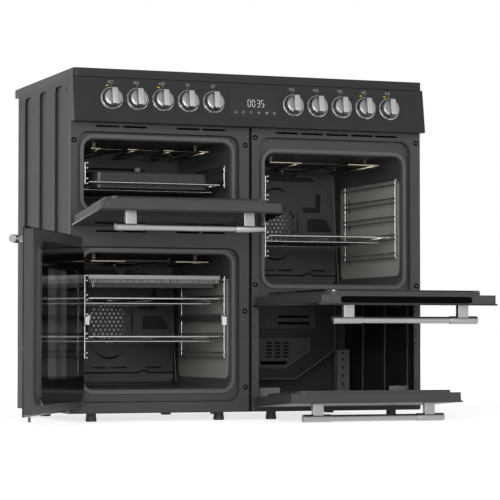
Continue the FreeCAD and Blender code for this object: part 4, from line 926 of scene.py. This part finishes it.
def fit_door(door, handle_x, handle_z, pane, raised, screw_places, swing):
    """Handle, printed borders and end screws of one door, given shut and then swung open.

    pane and raised are the outer pane and the raised inner part, as (x0, x1, z0, z1)."""
    handle = add_piece(door + "_bar_handle", moved(handle_form(handle_x, handle_z), swing),
                       anodised, door)
    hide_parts(door + "_handle")
    if raised:
        x0, x1, z0, z1 = raised
        window = (x0 + window_inset, x1 - window_inset, z0 + window_inset, z1 - window_inset)
        prints = joined(border_form(pane, window, -30.15, 4.1, outer_corner),
                        border_form(raised, window, 4.1, 4.05, inner_corner))
        add_piece(door + "_glass_print", moved(prints, swing), pane_print, door)
    add_piece(door + "_end_screws", moved(copies(pan_screw, screw_places), swing), screw_steel,
              door)


def swung(x, y, z, degrees, axis):
    """The turn about a hinge from shut to where a door stands at rest."""
    return at(x, y, z) @ turned(degrees, axis) @ at(-x, -y, -z)


hinge_y, half_pane = -17.0, 247.35
for door, centre_x, foot_z, top_z, open_angle, raised in (
        ("grill_door", -252.15, 513.0, 762.0, 83.5, (-475.15, -38.15, 537.0, 750.5)),
        ("tall_door", 252.15, 304.0, 762.0, 90.0, (31.15, 464.15, 328.0, 750.5)),
        ("storage_flap", 252.15, 38.0, 296.0, 86.5, None)):
    pane = (centre_x - half_pane, centre_x + half_pane, foot_z, top_z)
    screw_reach = half_pane - pan_inset - screw_in
    screw_places = [at(centre_x + side * screw_reach, pan_middle_y, top_z) for side in (-1, 1)]
    swing = swung(0, hinge_y, foot_z + 10.0, open_angle, "X")
    fit_door(door, centre_x, top_z - 28.0, pane, raised, screw_places, swing)
    if door == "tall_door":
        # The air mouth is a plate of painted shade.
        air_mouth = moved(rounded_block(363.0, 17.0, 0.3, 6.0, 0.0), at(243.7, -16.5, 761.8))
        add_piece("tall_door_air_mouth", moved(air_mouth, swing), painted_gap_shade, door)

main_swing = swung(-489.5, hinge_y, 0, -120.0, "Z")
main_pane = (-495.5, -4.8, 30.5, 485.0)
main_screws = [at(main_pane[1] - pan_inset, pan_middle_y, z) @ turned(90, "Y")
               for z in (main_pane[2] + screw_in, main_pane[3] - screw_in)]
fit_door("main_door", -252.15, 457.0, main_pane, (-475.5, -38.15, 56.5, 450.5), main_screws,
         main_swing)
foot_pin = turned_form([(0, 19.0), (2.6, 19.0), (3.2, 20.0), (3.2, 31.5), (0, 31.5)], 20)
add_piece("main_door_foot_pin", moved(foot_pin, main_swing @ at(-16.0, -15.0, 0)), screw_steel,
          "main_door")


# Feet: black nylon pads on threaded studs.
foot_nylon = printed_ink("black_nylon", "#2b2b2b")
foot_pad = turned_form([(0, 0), (13.0, 0), (14.5, 1.2), (14.5, 8.0), (13.4, 11.0), (13.0, 21.6),
                        (0, 21.6)], 32)
foot_places = [at(x, y, 0) for x in (-430.0, -75.0, 75.0, 430.0) for y in (42.0, 480.0)]
feet = add_piece("foot_pads", copies(foot_pad, foot_places), foot_nylon)
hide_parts("levelling_feet")


# Storage: the rear cover has a recess with a lip, louvres, a field of air slots and a wide
# slot. Two folded tabs stand on the base, and a bracket post at the rear. The recess, slots
# and holes are drawn as plates of painted shade. The lip, bent edges and tabs carry painted
# highlights in a paler coat.
cover_y, box_y = 400.0, 386.0
# The recess is a darker plate: painted shade.
recess_shade_coat = coated_steel("painted_recess_shade", "#232323", 0.45)
recess = upright_plate([(8, 103), (291, 103), (414, 185), (414, 341), (8, 341)], cover_y, 0.4)
add_piece("storage_cover_recess", recess, recess_shade_coat)

edge_highlight_coat = coated_steel("painted_edge_highlight", "#6a6a69", 0.4)
lip_highlight_runs = [(wall_path([(8, 101), (293, 101), (415, 183), (415, 341)], cover_y), 1.4),
            (wall_path([(345, 246), (345, 324)], box_y), 1.0),
            (wall_path([(251, 131), (329, 181), (329, 219)], box_y), 1.2)]
lip_highlight_runs += [(wall_path([(x, 247), (x, 324)], box_y), 1.2) for x in (205.0, 215.0)]
add_wires("storage_cover_lip_highlights", lip_highlight_runs, edge_highlight_coat)

# The louvres, air slots and wide slot are plates of painted shade.
air_cuts = [plain_plate(232, 330, z, z + 7, box_y, 0.3) for z in (257, 276)]
air_cuts += [round_ended(column, column + 18, 163 + 9.6 * row, 167.4 + 9.6 * row, box_y, 0.3)
             for column in (196.0, 222.0, 248.0) for row in range(5)]
air_cuts.append(upright_plate([(176, 152), (262, 152), (256, 142), (181, 142)], box_y, 0.3))
add_piece("storage_cover_slots", joined(*air_cuts), painted_gap_shade)

base_z = 23.5
tabs = [block_form(x0, x1, y0, y1, base_z, top) for x0, x1, y0, y1, top in (
    (49, 108, 60, 61.5, 84), (421, 478, 34, 35.5, 87), (430, 472, 424, 425.5, 184),
    (430, 431.5, 424, 440, 184))]
add_piece("storage_tabs", joined(*tabs), edge_highlight_coat)
# The holes in the bracket post are plates of painted shade.
post_holes = [round_ended(448, 454, z, z + 8, 424.0, 0.2) for z in (80, 104, 128, 152, 170)]
add_piece("storage_post_holes", joined(*post_holes), painted_gap_shade)
# Paler lines along the inner channels' edges are painted highlights.
channel_lip_highlights = [([(493.2, edge, 60), (493.2, edge, 300)], 1.0) for edge in (72.0, 224.5, 377.0)]
add_wires("inner_channel_lip_highlights", channel_lip_highlights, edge_highlight_coat)
